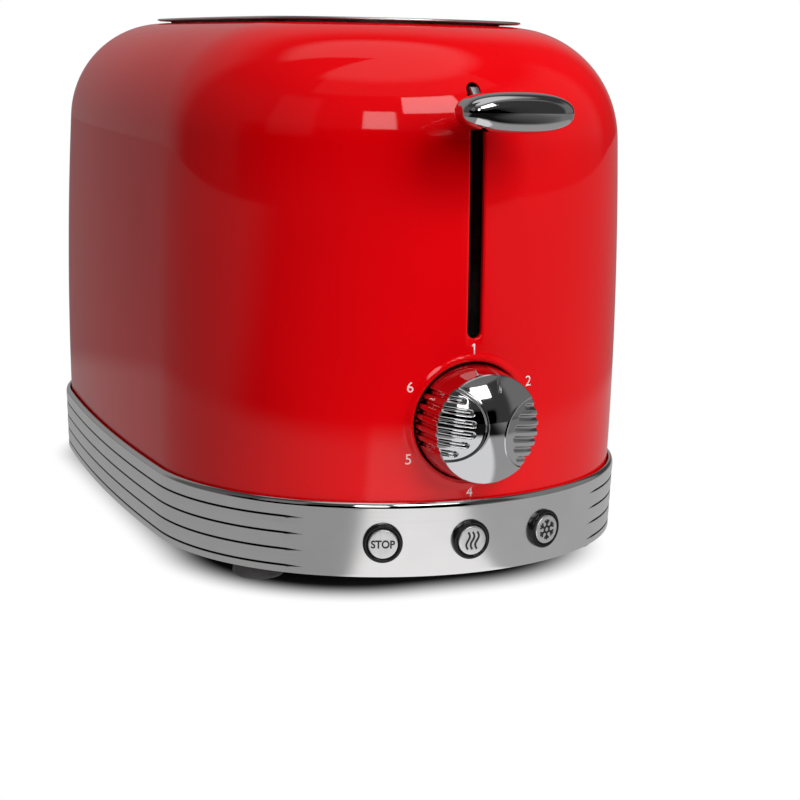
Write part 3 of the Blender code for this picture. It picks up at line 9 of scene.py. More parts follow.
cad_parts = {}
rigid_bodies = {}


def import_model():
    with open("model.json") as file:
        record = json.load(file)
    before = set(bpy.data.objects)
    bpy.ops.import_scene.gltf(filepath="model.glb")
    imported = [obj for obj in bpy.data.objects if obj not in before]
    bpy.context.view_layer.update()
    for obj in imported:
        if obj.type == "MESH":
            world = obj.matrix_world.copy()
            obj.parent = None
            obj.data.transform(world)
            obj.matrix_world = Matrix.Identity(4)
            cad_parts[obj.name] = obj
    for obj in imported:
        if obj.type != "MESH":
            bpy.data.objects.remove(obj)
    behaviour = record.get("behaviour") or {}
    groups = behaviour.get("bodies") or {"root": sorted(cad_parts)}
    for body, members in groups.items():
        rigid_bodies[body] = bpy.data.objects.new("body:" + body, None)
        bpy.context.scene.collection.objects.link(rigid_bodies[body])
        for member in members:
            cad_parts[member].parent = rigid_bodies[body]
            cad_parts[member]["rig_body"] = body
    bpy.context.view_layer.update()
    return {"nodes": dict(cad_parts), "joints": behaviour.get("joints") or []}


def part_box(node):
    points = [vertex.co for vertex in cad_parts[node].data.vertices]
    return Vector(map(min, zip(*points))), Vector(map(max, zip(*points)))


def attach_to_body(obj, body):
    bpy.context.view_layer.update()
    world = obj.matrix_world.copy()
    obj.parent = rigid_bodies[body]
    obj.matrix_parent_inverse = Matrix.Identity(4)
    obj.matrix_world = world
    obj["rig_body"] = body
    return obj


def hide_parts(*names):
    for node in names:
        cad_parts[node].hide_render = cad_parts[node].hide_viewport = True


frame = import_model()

# Retro two-slot toaster: red enamel shell, satin chrome base band, chrome browning knob
joints = {joint["name"]: joint for joint in frame["joints"]}
nodes = frame["nodes"]

camera = {
    "place": (-0.24250, -0.65332, 0.17913),
    "look": (0.37976871, 0.90407142, -0.19603725),
    "roll": radians(1.32),
    "lens": 78.742,
    "sensor": 36,
    "clipStart": 0.01,
}

# Studio light: angles in degrees, azimuth 0 towards the control end and positive to the right
studio = {
    "floorHalf": 6.0,
    # The floor's painted shadow: a dark tone within a rounded rectangle about the feet that fades to
    # plain white
    "floorShadowTone": 0.05,
    "floorRoughness": 0.9,
    "shadowCentre": (-0.0055, 0.010),
    "shadowHalf": (0.0872, 0.1525),
    "shadowCorner": 0.074,
    "shadowReach": (-0.021, 0.001),
    "nearToFar": (0.31, 0.40),
    # The floor's glow: level on the left, then azimuth from, to and the change between them
    "nearLevel": (0.39, (-20, -16, 0.70), (7, 10, -0.61), (130, 178, -0.09)),
    "farLevel": (0.25, (-88, -60, -0.24), (14, 34, 0.26), (130, 178, -0.02)),
    "worldBase": 0.06,
    "softboxes": [
        # azimuth from, to, elevation from, to, edge softness, level
        (-8, 24, 30, 47, 1.5, 5.5),
        (-27, -11, 15, 33, 1.5, 4.5),
        (-95, 28, -5, 19, 8, -0.09),
        (-78, -46, 5, 45, 6, 0.15),
        (42, 112, -6, 50, 12, 0.18),
        (-150, -70, -10, 50, 20, 0.05),
        (-200, -128, -20, 60, 20, 0.25),
        (128, 200, -20, 60, 20, 0.25),
        (-60, 60, 46, 66, 3, 0.18),
        (-70, 200, 59, 120, 9, 0.85),
        (-200, -118, 59, 120, 9, 0.85),
    ],
    "lamps": {
        # place, target, size, power
        "keySoftbox": ((0.45, -1.18, 0.75), (0, 0, 0.08), (0.9, 0.9), 11.6),
        "topSoftbox": ((0.0, -0.1, 1.5), (0, 0, 0), (1.8, 1.8), 8.0),
        "leftFill": ((-1.0, -0.9, 0.4), (0, 0, 0.1), (0.6, 0.8), 0.3),
    },
}


def onward(operation):
    return lambda wire, other: wire.graph.math(operation, wire, other)


def reflected(operation):
    return lambda wire, other: wire.graph.math(operation, other, wire)


class Wire:
    # One socket of a node tree; sums on it add Math nodes
    __add__, __radd__ = onward("ADD"), reflected("ADD")
    __sub__, __rsub__ = onward("SUBTRACT"), reflected("SUBTRACT")
    __mul__, __rmul__ = onward("MULTIPLY"), reflected("MULTIPLY")
    __truediv__, __rtruediv__ = onward("DIVIDE"), reflected("DIVIDE")
    atLeast, atMost = onward("MAXIMUM"), onward("MINIMUM")

    def __init__(self, graph, socket):
        self.graph = graph
        self.socket = socket

    def __abs__(self):
        return self.graph.math("ABSOLUTE", self)


class Graph:
    # A shader or geometry node tree with short ways to add nodes
    def __init__(self, tree):
        self.tree = tree

    def add(self, kind, inputs=None, output=0, **settings):
        node = self.tree.nodes.new(kind)
        for name, value in settings.items():
            setattr(node, name, value)
        self.feed(node, inputs)
        return Wire(self, node.outputs[output])

    def feed(self, node, inputs):
        for key, value in (inputs or {}).items():
            if isinstance(value, Wire):
                self.tree.links.new(value.socket, node.inputs[key])
            else:
                node.inputs[key].default_value = value

    def math(self, operation, *values):
        return self.add("ShaderNodeMath", dict(enumerate(values)), operation=operation)

    def step(self, value, low, high, bottom=0.0, top=1.0):
        # A smooth step from bottom to top between two values
        inputs = {"Value": value, "From Min": low, "From Max": high, "To Min": bottom, "To Max": top}
        return self.add("ShaderNodeMapRange", inputs, interpolation_type="SMOOTHSTEP")

    def between(self, limits, value, low, high):
        return limits[0] + (limits[1] - limits[0]) * self.step(value, low, high)

    def mixColour(self, factor, first, second):
        return self.add("ShaderNodeMix", {0: factor, 6: first, 7: second}, 2, data_type="RGBA")

    def shades(self, factor, colour, change):
        # A colour that varies towards a brighter or darker one
        changed = [min(1.0, channel * change) for channel in colour]
        return self.mixColour(factor, rgba(colour), rgba(changed))

    def noise(self, vector, scale, detail):
        # Three factors in place of a scale stretch the pattern
        if isinstance(scale, tuple):
            vector = self.add("ShaderNodeVectorMath", {0: vector, 1: scale}, operation="MULTIPLY")
            scale = 1.0
        return self.add("ShaderNodeTexNoise", {"Vector": vector, "Scale": scale, "Detail": detail,
                                               "Roughness": 0.55})

    def bump(self, height, strength, distance=0.0002):
        return self.add("ShaderNodeBump",
                        {"Height": height, "Strength": strength, "Distance": distance})

    def separate(self, vector):
        node = self.add("ShaderNodeSeparateXYZ", {0: vector}).socket.node
        return [Wire(self, socket) for socket in node.outputs]

    def azimuth(self, x, y):
        # Degrees to the right of the control end
        return self.math("ARCTAN2", x, 0 - y) * (180 / pi)


def rgba(colour):
    return (*colour, 1.0)


def newFinish(name):
    # A material with its graph, its shader and the object's own coordinates
    material = bpy.data.materials.new(name)
    material.use_nodes = True
    graph = Graph(material.node_tree)
    place = graph.add("ShaderNodeTexCoord", output="Object")
    return material, graph, material.node_tree.nodes["Principled BSDF"], place


def addObject(name, data):
    holder = bpy.data.objects.new(name, data)
    bpy.context.scene.collection.objects.link(holder)
    return holder


def meshFrom(bm, name):
    mesh = bpy.data.meshes.new(name)
    bm.to_mesh(mesh)
    bm.free()
    return mesh


def placeCamera():
    view = bpy.data.cameras.new("photoCamera")
    view.lens = camera["lens"]
    view.sensor_width = camera["sensor"]
    view.clip_start = camera["clipStart"]
    holder = addObject("photoCamera", view)
    turn = Vector(camera["look"]).to_track_quat("-Z", "Y")
    holder.rotation_mode = "QUATERNION"
    holder.rotation_quaternion = turn @ Quaternion((0, 0, 1), camera["roll"])
    holder.location = camera["place"]
    bpy.context.scene.camera = holder


def makeFloor():
    # The camera sees plain white, with a painted shadow about the feet; mirrors see the darker studio
    # beyond the sweep
    bm = bmesh.new()
    bmesh.ops.create_grid(bm, x_segments=1, y_segments=1, size=studio["floorHalf"])
    floor = addObject("studioFloor", meshFrom(bm, "studioFloor"))
    material, graph, shader, place = newFinish("studioFloor")
    # The dark base colour is painted shadow, seen only within the shadow's rectangle
    graph.feed(shader, {"Base Color": rgba([studio["floorShadowTone"]] * 3),
                        "Roughness": studio["floorRoughness"], "Specular IOR Level": 0.0})
    x, y, _ = graph.separate(place)
    azimuth = graph.azimuth(x, y)

    def stepped(level, *changes):
        return sum((graph.step(azimuth, low, high, 0.0, change)
                    for low, high, change in changes), level)

    isNear = graph.step(graph.math("SQRT", x * x + y * y), *studio["nearToFar"], 1.0, 0.0)
    level = isNear * stepped(*studio["nearLevel"]) + (1 - isNear) * stepped(*studio["farLevel"])
    glow = graph.add("ShaderNodeEmission", {"Strength": level})
    # Distance to a rounded rectangle about the feet: inside it a dark floor under the lamps, painted
    # shadow over the real one; plain white beyond
    corner = studio["shadowCorner"]
    gapX, gapY = (abs(value - centre) - (half - corner) for value, centre, half
                  in zip((x, y), studio["shadowCentre"], studio["shadowHalf"]))
    outerX, outerY = gapX.atLeast(0.0), gapY.atLeast(0.0)
    inner = gapX.atLeast(gapY).atMost(0.0)
    gap = graph.math("SQRT", outerX * outerX + outerY * outerY) + inner - corner
    plain = graph.add("ShaderNodeEmission", {"Strength": 1.0})
    shown = graph.add("ShaderNodeMixShader", {0: graph.step(gap, *studio["shadowReach"]),
                                              1: Wire(graph, shader.outputs[0]), 2: plain})
    seen = graph.add("ShaderNodeLightPath", output="Is Camera Ray")
    mixed = graph.add("ShaderNodeMixShader", {0: seen, 1: glow, 2: shown})
    graph.feed(graph.tree.nodes["Material Output"], {"Surface": mixed})
    floor.data.materials.append(material)


def makeWorld():
    world = bpy.data.worlds.new("softStudio")
    world.use_nodes = True
    bpy.context.scene.world = world
    graph = Graph(world.node_tree)
    x, y, z = graph.separate(graph.add("ShaderNodeTexCoord", output="Generated"))
    azimuth = graph.azimuth(x, y)
    elevation = graph.math("ARCSINE", z) * (180 / pi)
    level = studio["worldBase"]
    for left, right, low, high, edge, strength in studio["softboxes"]:
        across = graph.step(azimuth, left, left + edge) - graph.step(azimuth, right - edge, right)
        upward = graph.step(elevation, low, low + edge) - graph.step(elevation, high - edge, high)
        level = level + across * upward * strength
    seen = graph.add("ShaderNodeLightPath", output="Is Camera Ray")
    graph.feed(world.node_tree.nodes["Background"],
               {"Color": (1, 1, 1, 1), "Strength": seen + (1 - seen) * level})


def addLamp(name, place, target, size, power):
    light = bpy.data.lights.new(name, "AREA")
    light.shape = "RECTANGLE"
    light.size, light.size_y = size
    light.energy = power
    lamp = addObject(name, light)
    lamp.location = place
    lamp.rotation_euler = (Vector(target) - Vector(place)).to_track_quat("-Z", "Y").to_euler()
    lamp.visible_glossy = False


placeCamera()
makeFloor()
makeWorld()
for lampName, lampValues in studio["lamps"].items():
    addLamp(lampName, *lampValues)
bpy.context.scene.view_settings.view_transform = "Standard"
print("studio ready")

# Noise counts between these limits: the usual range and a narrow one
noiseRange = (0.3, 0.7)
narrowRange = (0.35, 0.65)

# Plain finishes, with linear colours: colour, its brighter share, patch scale, metallic,
# roughness from and to, grain scale or scales, bump and, where it isn't the usual half, the gloss
finishes = {
    "zincSheet": ((0.50, 0.51, 0.53), 1.25, 140, 1.0, (0.30, 0.46), 500, 0.03),
    "springSteel": ((0.44, 0.44, 0.46), 1.18, 220, 1.0, (0.24, 0.38), (900, 200, 900), 0.03),
    "trayAluminium": ((0.62, 0.62, 0.63), 1.10, 60, 1.0, (0.30, 0.42), (1600, 40, 1600), 0.03),
    "blackMoulding": ((0.017, 0.017, 0.018), 1.35, 90, 0.0, (0.42, 0.56), 1500, 0.12),
    "footRubber": ((0.092, 0.086, 0.086), 1.25, 160, 0.0, (0.66, 0.84), 1100, 0.16),
    "glossBlack": ((0.006, 0.006, 0.007), 1.30, 300, 0.0, (0.04, 0.08), 300, 0.01, 0.25),
    "micaBoard": ((0.56, 0.50, 0.39), 1.22, 70, 0.0, (0.36, 0.60), 900, 0.05),
    "heaterRibbon": ((0.20, 0.18, 0.17), 1.50, 200, 1.0, (0.34, 0.52), 800, 0.04),
    "circuitLaminate": ((0.020, 0.13, 0.055), 1.30, 260, 0.0, (0.30, 0.44), 1400, 0.04),
    "copperWinding": ((0.60, 0.25, 0.11), 1.20, 240, 1.0, (0.22, 0.36), (120, 120, 4200), 0.20),
    "ivoryMoulding": ((0.68, 0.64, 0.54), 1.10, 120, 0.0, (0.36, 0.48), 1000, 0.05),
    "silverDisc": ((0.60, 0.60, 0.60), 1.08, 500, 0.85, (0.26, 0.36), (2200, 2200, 120), 0.03),
    "legendInk": ((0.012, 0.012, 0.013), 1.20, 900, 0.0, (0.40, 0.52), 2000, 0.02),
    "dialPrint": ((0.93, 0.72, 0.70), 1.04, 700, 0.0, (0.34, 0.44), 2400, 0.02),
}


def makeFinish(name, colour, spread, patch, metallic, roughness, grain, bump, gloss=0.5):
    material, graph, shader, place = newFinish(name)
    patches = graph.noise(place, patch, 4)
    grains = graph.noise(place, grain, 2)
    graph.feed(shader, {
        "Base Color": graph.shades(graph.step(patches, *noiseRange), colour, spread),
        "Roughness": graph.between(roughness, patches * 0.5 + grains * 0.5, *noiseRange),
        "Normal": graph.bump(grains, bump), "Metallic": metallic, "Specular IOR Level": gloss})
    return material


paint = {name: makeFinish(name, *look) for name, look in finishes.items()}

enamel = {
    "colour": (0.80, 0.0015, 0.0045),
    "deepColour": (0.72, 0.0010, 0.0035),
    "roughness": 0.30,
    "coatRoughness": 0.035,
    "coatWeight": 0.75,
    "roughSpread": 0.05,
    "broadScale": 9,
    "peelScale": 260,
    "peel": 0.010,
    "peelHeight": 0.001,
}


def makeEnamel():
    # Red glaze under a clear gloss, with the faint peel that sprayed enamel has
    material, graph, shader, place = newFinish("redEnamel")
    broad = graph.noise(place, enamel["broadScale"], 2)
    peel = graph.noise(place, enamel["peelScale"], 2)
    graph.feed(shader, {
        "Base Color": graph.mixColour(graph.step(broad, *narrowRange), rgba(enamel["colour"]),
                                      rgba(enamel["deepColour"])),
        "Roughness": enamel["roughness"] + enamel["roughSpread"] * peel,
        "Normal": graph.bump(peel, enamel["peel"], enamel["peelHeight"]),
        "Coat Roughness": enamel["coatRoughness"], "Coat Weight": enamel["coatWeight"],
        "Specular IOR Level": 0.0})
    return material


chrome = {
    "bandColour": (0.71, 0.70, 0.70),
    "bandRoughness": (0.17, 0.25),
    "rimRoughness": 0.06,
    # Painted shadow in the band's grooves: its colour and how strongly it covers the chrome
    "grooveShadowColour": (0.012, 0.012, 0.013),
    "grooveShadowStrength": 0.93,
    "streakLength": 24,
    "streakFineness": 2600,
    "bandClouds": 28,
    "streakBump": 0.035,
    "brightColour": (0.56, 0.56, 0.57),
    "brightRoughness": (0.035, 0.075),
    "hazeScale": 90,
    "wipeScales": (900, 300, 900),
    "plateColour": (0.80, 0.80, 0.81),
    "plateRoughness": (0.30, 0.42),
    "strokeScales": (2600, 16, 2600),
    "cloudScales": (60, 14, 60),
    "strokeBump": 0.05,
}


def makeBrightChrome():
    material, graph, shader, place = newFinish("brightChrome")
    haze = graph.noise(place, chrome["hazeScale"], 4)
    wipe = graph.noise(place, chrome["wipeScales"], 2)
    graph.feed(shader, {
        "Base Color": graph.shades(haze, chrome["brightColour"], 0.96), "Metallic": 1.0,
        "Roughness": graph.between(chrome["brightRoughness"], haze * 0.6 + wipe * 0.4,
                                   *narrowRange)})
    return material


def makeBrushedSteel():
    # Long brush strokes along the toaster
    material, graph, shader, place = newFinish("brushedSteel")
    strokes = graph.noise(place, chrome["strokeScales"], 3)
    clouds = graph.noise(place, chrome["cloudScales"], 3)
    graph.feed(shader, {
        "Base Color": graph.shades(graph.step(strokes, *narrowRange), chrome["plateColour"], 0.92),
        "Roughness": graph.between(chrome["plateRoughness"], strokes * 0.7 + clouds * 0.3,
                                   *noiseRange),
        "Normal": graph.bump(strokes, chrome["strokeBump"]), "Metallic": 1.0})
    return material


paint["redEnamel"] = makeEnamel()
paint["brightChrome"] = makeBrightChrome()
paint["brushedSteel"] = makeBrushedSteel()
print("finishes mixed:", len(paint))

mergeDistance = 0.0000005
cadMergeDistance = 0.000002


def resharpen(piece, angle):
    piece.data.shade_smooth()
    piece.data.set_sharp_from_angle(angle=angle)
    return piece


def painted(mesh, finish):
    mesh.materials.clear()
    mesh.materials.append(paint[finish])
    return mesh


def newPiece(name, mesh, finish, sharpAngle=radians(38)):
    return resharpen(addObject(name, painted(mesh, finish)), sharpAngle)


def bmOf(mesh):
    bm = bmesh.new()
    bm.from_mesh(mesh)
    return bm


def cleaned(bm, name, matrix=None):
    # Doubles go first, so that poles and seams close before the faces are turned outwards
    bmesh.ops.remove_doubles(bm, verts=bm.verts, dist=mergeDistance)
    bmesh.ops.dissolve_degenerate(bm, edges=bm.edges, dist=mergeDistance)
    if matrix is not None:
        bmesh.ops.transform(bm, matrix=matrix, verts=bm.verts)
    bmesh.ops.recalc_face_normals(bm, faces=bm.faces)
    return meshFrom(bm, name)


def gridMesh(name, points, closeRows=False, matrix=None, clean=True):
    # points[column][row] makes quads; the columns close round on themselves
    points = np.asarray(points, float)
    index = np.arange(points.shape[0] * points.shape[1]).reshape(points.shape[:2])
    right = np.roll(index, -1, axis=0)
    if closeRows:
        quads = [index, right, np.roll(right, -1, axis=1), np.roll(index, -1, axis=1)]
    else:
        quads = [index[:, :-1], right[:, :-1], right[:, 1:], index[:, 1:]]
    mesh = bpy.data.meshes.new(name)
    mesh.from_pydata(points.reshape(-1, 3).tolist(), [],
                     np.stack(quads, axis=-1).reshape(-1, 4).tolist())
    if not clean:
        return mesh
    bm = bmOf(mesh)
    bpy.data.meshes.remove(mesh)
    return cleaned(bm, name, matrix)


def lathe(name, profile, matrix, sides, closeRows=False):
    # A profile of (radius, height) turned about the local Z axis
    turns = [2 * pi * side / sides for side in range(sides)]
    columns = [[(radius * cos(turn), radius * sin(turn), height) for radius, height in profile]
               for turn in turns]
    return gridMesh(name, columns, closeRows, matrix)


def arcPoints(centre, radius, start, end, steps):
    turns = [start + (end - start) * step / steps for step in range(steps + 1)]
    return [(centre[0] + radius * cos(turn), centre[1] + radius * sin(turn)) for turn in turns]


def roundTurns(steps):
    return [pi / 2 * step / steps for step in range(steps + 1)]


def modify(piece, kind, **settings):
    modifier = piece.modifiers.new(kind, kind)
    for name, value in settings.items():
        setattr(modifier, name, value)
    return modifier


def meshOf(holder):
    depsgraph = bpy.context.evaluated_depsgraph_get()
    return bpy.data.meshes.new_from_object(holder.evaluated_get(depsgraph))


def applied(piece):
    # The modifiers' result as a plain mesh on the same object
    mesh, old = meshOf(piece), piece.data
    piece.modifiers.clear()
    piece.data = mesh
    bpy.data.meshes.remove(old)
    return piece


def carve(piece, cutters, operation="DIFFERENCE"):
    for cutter in cutters:
        modify(piece, "BOOLEAN", operation=operation, solver="EXACT", object=cutter)
    applied(piece)
    for cutter in cutters:
        bpy.data.objects.remove(cutter, do_unlink=True)
    return piece


def attach(piece, body, *replaced):
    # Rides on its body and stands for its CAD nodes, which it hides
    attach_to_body(piece, body)
    if replaced:
        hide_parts(*replaced)
    return piece


def facing(outward, place):
    # Local X to the right and Y up, seen from outside, with Z outward
    outward = Vector(outward).normalized()
    up = Vector((0, 0, 1))
    turn = Matrix((up.cross(outward), up, outward)).transposed().to_4x4()
    return Matrix.Translation(place) @ turn


def centreOf(name):
    return [(low + high) / 2 for low, high in zip(*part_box(name))]


# Plan of the body: three arcs in each quarter, closed on the band's own box
bandLow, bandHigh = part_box("base_band")
plan = {
    "halfLength": (bandHigh.y - bandLow.y) / 2,
    "halfWidth": (bandHigh.x - bandLow.x) / 2,
    "centreY": (bandHigh.y + bandLow.y) / 2,
    "noseRadius": 0.0958,
    "noseTurn": radians(31.6),
    "cornerTurn": radians(85.6),
}
frontY = plan["centreY"] - plan["halfLength"]
rearY = plan["centreY"] + plan["halfLength"]


def planArcs():
    # Radius, first turn and last turn of each arc; the outer two radii close the quarter
    nose, corner, radius = plan["noseTurn"], plan["cornerTurn"], plan["noseRadius"]
    a, b = sin(corner) - sin(nose), 1 - sin(corner)
    c, d = cos(nose) - cos(corner), cos(corner)
    across = plan["halfWidth"] - radius * sin(nose)
    along = plan["halfLength"] - radius * (1 - cos(nose))
    divisor = a * d - b * c
    return [(radius, 0.0, nose), ((across * d - b * along) / divisor, nose, corner),
            ((a * along - across * c) / divisor, corner, pi / 2)]


arcs = planArcs()


def quarterPoint(turn, inset):
    # Distance across and distance back from the end, at one turn of the quarter
    x, depth = 0.0, inset
    for radius, first, last in arcs:
        reached = min(max(turn, first), last)
        x += (radius - inset) * (sin(reached) - sin(first))
        depth += (radius - inset) * (cos(first) - cos(reached))
    return x, depth


def arcLength(turn):
    return sum(radius * (min(max(turn, first), last) - first) for radius, first, last in arcs)


def turnAt(length):
    for radius, first, last in arcs:
        if length <= radius * (last - first):
            return first + length / radius
        length -= radius * (last - first)
    return pi / 2


def quarterTurns(coarse, fine=None, fineReach=0.0):
    # Turns of one quarter, finer within a reach of the end's middle
    whole = arcLength(pi / 2)
    lengths = [0.0]
    while lengths[-1] < whole:
        here = lengths[-1]
        lengths.append(here + (fine if fine and here < fineReach else coarse))
    scale = whole / lengths[-1]
    return [turnAt(length * scale) for length in lengths[:-1]] + [pi / 2]


def planColumns(front, rear):
    # Each column is a turn, the side it lies on and the end it belongs to
    return ([(turn, 1, 1) for turn in front] + [(turn, 1, -1) for turn in reversed(rear[:-1])]
            + [(turn, -1, -1) for turn in rear[1:]]
            + [(turn, -1, 1) for turn in reversed(front[1:-1])])


def planPlace(column, inset):
    turn, side, end = column
    x, depth = quarterPoint(turn, inset)
    return side * x, plan["centreY"] - end * (plan["halfLength"] - depth)


# Enamelled shell
shell = {
    "bottom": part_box("outer_shell")[0].z,
    "wall": 0.0015,
    "bellyHeight": 0.073,
    "bellyInset": 0.00175,
    "bellyRadius": 1.5,
    "shoulderTop": 0.1877,
    "shoulderRadius": 0.040,
    "shoulderSteps": 26,
    "crownSlope": radians(6),
    "openingInset": 0.0430,
    "skirt": 0.004,
    "coarse": 0.0036,
    "coarseRow": 0.0045,
    "fine": 0.0007,
    "fineReach": 0.027,
    "fineTrim": 0.002,
    "slotHalfWidth": 0.0025,
    "slotLow": 0.0865,
    "slotHigh": 0.1695,
    "slotRound": 0.0005,
    "knobHoleRadius": 0.0200,
    "knobHoleRound": 0.0012,
    "knobHoleSides": 160,
    "cutDepth": 0.012,
    "cutAhead": 0.004,
    "flareSteps": 6,
    "flareTurn": pi / 2 * 0.9,
    "flareEnd": (1.6, -0.6),
    "slotRows": 22,
    "slotEndSteps": 14,
    "collarRise": 0.0007,
    "collarInner": 0.0212,
    "collarWidth": 0.0020,
}
knobCentre = Vector(joints["browning_turn"]["pos_m"])


def barrelInset(height):
    turn = asin((height - shell["bellyHeight"]) / shell["bellyRadius"])
    return shell["bellyInset"] + shell["bellyRadius"] * (1 - cos(turn))


def collarRise(x, z):
    # The sheet swells forward a little round the knob
    away = (hypot(x, z - knobCentre.z) - shell["collarInner"]) / shell["collarWidth"]
    return shell["collarRise"] * 0.5 * (1 + cos(pi * min(1.0, max(0.0, away))))


def frontSurface(x, z):
    # The shell's face in front, within the nose arc and below the shoulder
    inset = barrelInset(z)
    radius = plan["noseRadius"] - inset
    return frontY + inset + radius * (1 - sqrt(1 - (x / radius) ** 2)) - collarRise(x, z)


def shellProfile():
    # Inset and height up the belly, round the shoulder and in to the opening
    radius, belly = shell["shoulderRadius"], shell["bellyRadius"]
    end = pi / 2 - shell["crownSlope"]
    centreHeight = shell["shoulderTop"] - radius * sin(end)
    start = asin((centreHeight - shell["bellyHeight"]) / (belly - radius))
    centreInset = barrelInset(shell["bellyHeight"] + belly * sin(start)) + radius * cos(start)
    heights = [shell["bottom"], shell["bottom"] + shell["skirt"]]
    fineTop = knobCentre.z + shell["fineReach"] - shell["fineTrim"]
    while heights[-1] < centreHeight + radius * sin(start):
        heights.append(heights[-1] + shell["fine" if heights[-1] < fineTop else "coarseRow"])
    rows = [(barrelInset(height), height) for height in heights[:-1]]
    shoulder = arcPoints((-centreInset, centreHeight), radius, start, end, shell["shoulderSteps"])
    rows += [(-x, height) for x, height in shoulder]
    inset, height = rows[-1]
    for share in (0.5, 1.0):
        reach = (shell["openingInset"] - inset) * share
        rows.append((inset + reach, height + reach * tan(shell["crownSlope"])))
    return rows


def flaredCutter(name, outline, edge):
    # A plug that leaves a rounded edge; outline(offset) gives its points in X and Z
    rings = [(0.0, shell["cutDepth"]), (0.0, edge)]
    for step in range(1, shell["flareSteps"] + 1):
        turn = shell["flareTurn"] * step / shell["flareSteps"]
        rings.append((edge * (1 - cos(turn)), edge * (1 - sin(turn))))
    wide, ahead = shell["flareEnd"]
    rings += [(edge * wide, edge * ahead), (edge * wide, -shell["cutAhead"])]
    columns = list(zip(*[[(x, frontSurface(x, z) + depth, z) for x, z in outline(offset)]
                         for offset, depth in rings]))
    bm = bmOf(gridMesh(name, columns))
    bmesh.ops.holes_fill(bm, edges=[seam for seam in bm.edges if seam.is_boundary])
    bmesh.ops.recalc_face_normals(bm, faces=bm.faces)
    return newPiece(name, meshFrom(bm, name), "redEnamel")


def slotOutline(offset):
    half = shell["slotHalfWidth"] + offset
    low = shell["slotLow"] + shell["slotHalfWidth"]
    high = shell["slotHigh"] - shell["slotHalfWidth"]
    rows, steps = shell["slotRows"], shell["slotEndSteps"]
    points = arcPoints((0, high), half, 0, pi, steps)
    points += [(-half, high + (low - high) * row / rows) for row in range(1, rows)]
    points += arcPoints((0, low), half, pi, 2 * pi, steps)
    points += [(half, low + (high - low) * row / rows) for row in range(1, rows)]
    return points


def knobHoleOutline(offset):
    return arcPoints((0, knobCentre.z), shell["knobHoleRadius"] + offset, 0, 2 * pi,
                     shell["knobHoleSides"])[:-1]


def makeShell():
    front = quarterTurns(shell["coarse"], shell["fine"], shell["fineReach"])
    rows = shellProfile()
    columns = [[(*planPlace(column, inset), height) for inset, height in rows]
               for column in planColumns(front, quarterTurns(shell["coarse"]))]
    columns = [[(x, y - collarRise(x, z) if y < plan["centreY"] else y, z) for x, y, z in points]
               for points in columns]
    piece = newPiece("enamelShell", gridMesh("enamelShell", columns, clean=False), "redEnamel")
    modify(piece, "SOLIDIFY", thickness=shell["wall"], offset=-1, use_even_offset=True)
    applied(piece)
    carve(piece, [flaredCutter("slotCutter", slotOutline, shell["slotRound"]),
                  flaredCutter("knobCutter", knobHoleOutline, shell["knobHoleRound"])])
    return attach(resharpen(piece, radians(50)), "body", "outer_shell")


makeShell()
print("shell formed")

# Chrome base band: one section swept round the plan, with grooves that fade out near the front
band = {
    "bottom": bandLow.z,
    "top": bandHigh.z,
    "wall": 0.0018,
    "rimRound": 0.00145,
    "rimRise": 0.0022,
    "rimBlend": 0.0002,
    "innerRound": 0.00035,
    "lean": 0.0008,
    "grooveDepth": 0.0007,
    "pillow": 0.00012,
    "groovePitch": 0.0057,
    "lastGroove": 3,
    "topLand": 0.0060,
    "upperFlank": 0.00045,
    "lowerFlank": 0.00035,
    # Half width of the painted shadow line along each groove
    "grooveShadowHalf": 0.00045,
    "fadeStart": 0.0565,
    "fadeLength": 0.0080,
    "columnStep": 0.0018,
    "rowStep": 0.0008,
    "clearRow": 0.0011,
    "innerRows": 12,
    "rimSteps": 14,
    "rowShares": (-1.8, -1, -0.66, -0.33, 0, 0.33, 0.66, 1, 1.8),
    "buttonGap": 0.0003,
    "cutInside": 0.008,
    "cutOutside": 0.004,
    "cutSides": 64,
    "windowGap": (0.003, 0.0003),
    "windowDepth": 0.035,
    "mapSteps": 400,
    "cordHole": 0.0047,
}
bandSizes = ("top", "bottom", "lean", "topLand", "groovePitch", "grooveDepth", "pillow",
             "upperFlank", "lowerFlank", "fadeStart", "fadeLength", "lastGroove")
pathMarks = {"inward": "FLOAT_VECTOR", "along": "FLOAT", "rear": "FLOAT"}


def leanAt(sizes, height):
    return sizes["lean"] * (sizes["top"] - height) / (sizes["top"] - sizes["bottom"])


def grooveAbove(graph, sizes, height):
    # How far the nearest groove lies above a height, in groove pitches
    rung = (sizes["top"] - sizes["topLand"] - height) / sizes["groovePitch"]
    return graph.math("ROUND", rung).atLeast(0.0).atMost(sizes["lastGroove"]) - rung


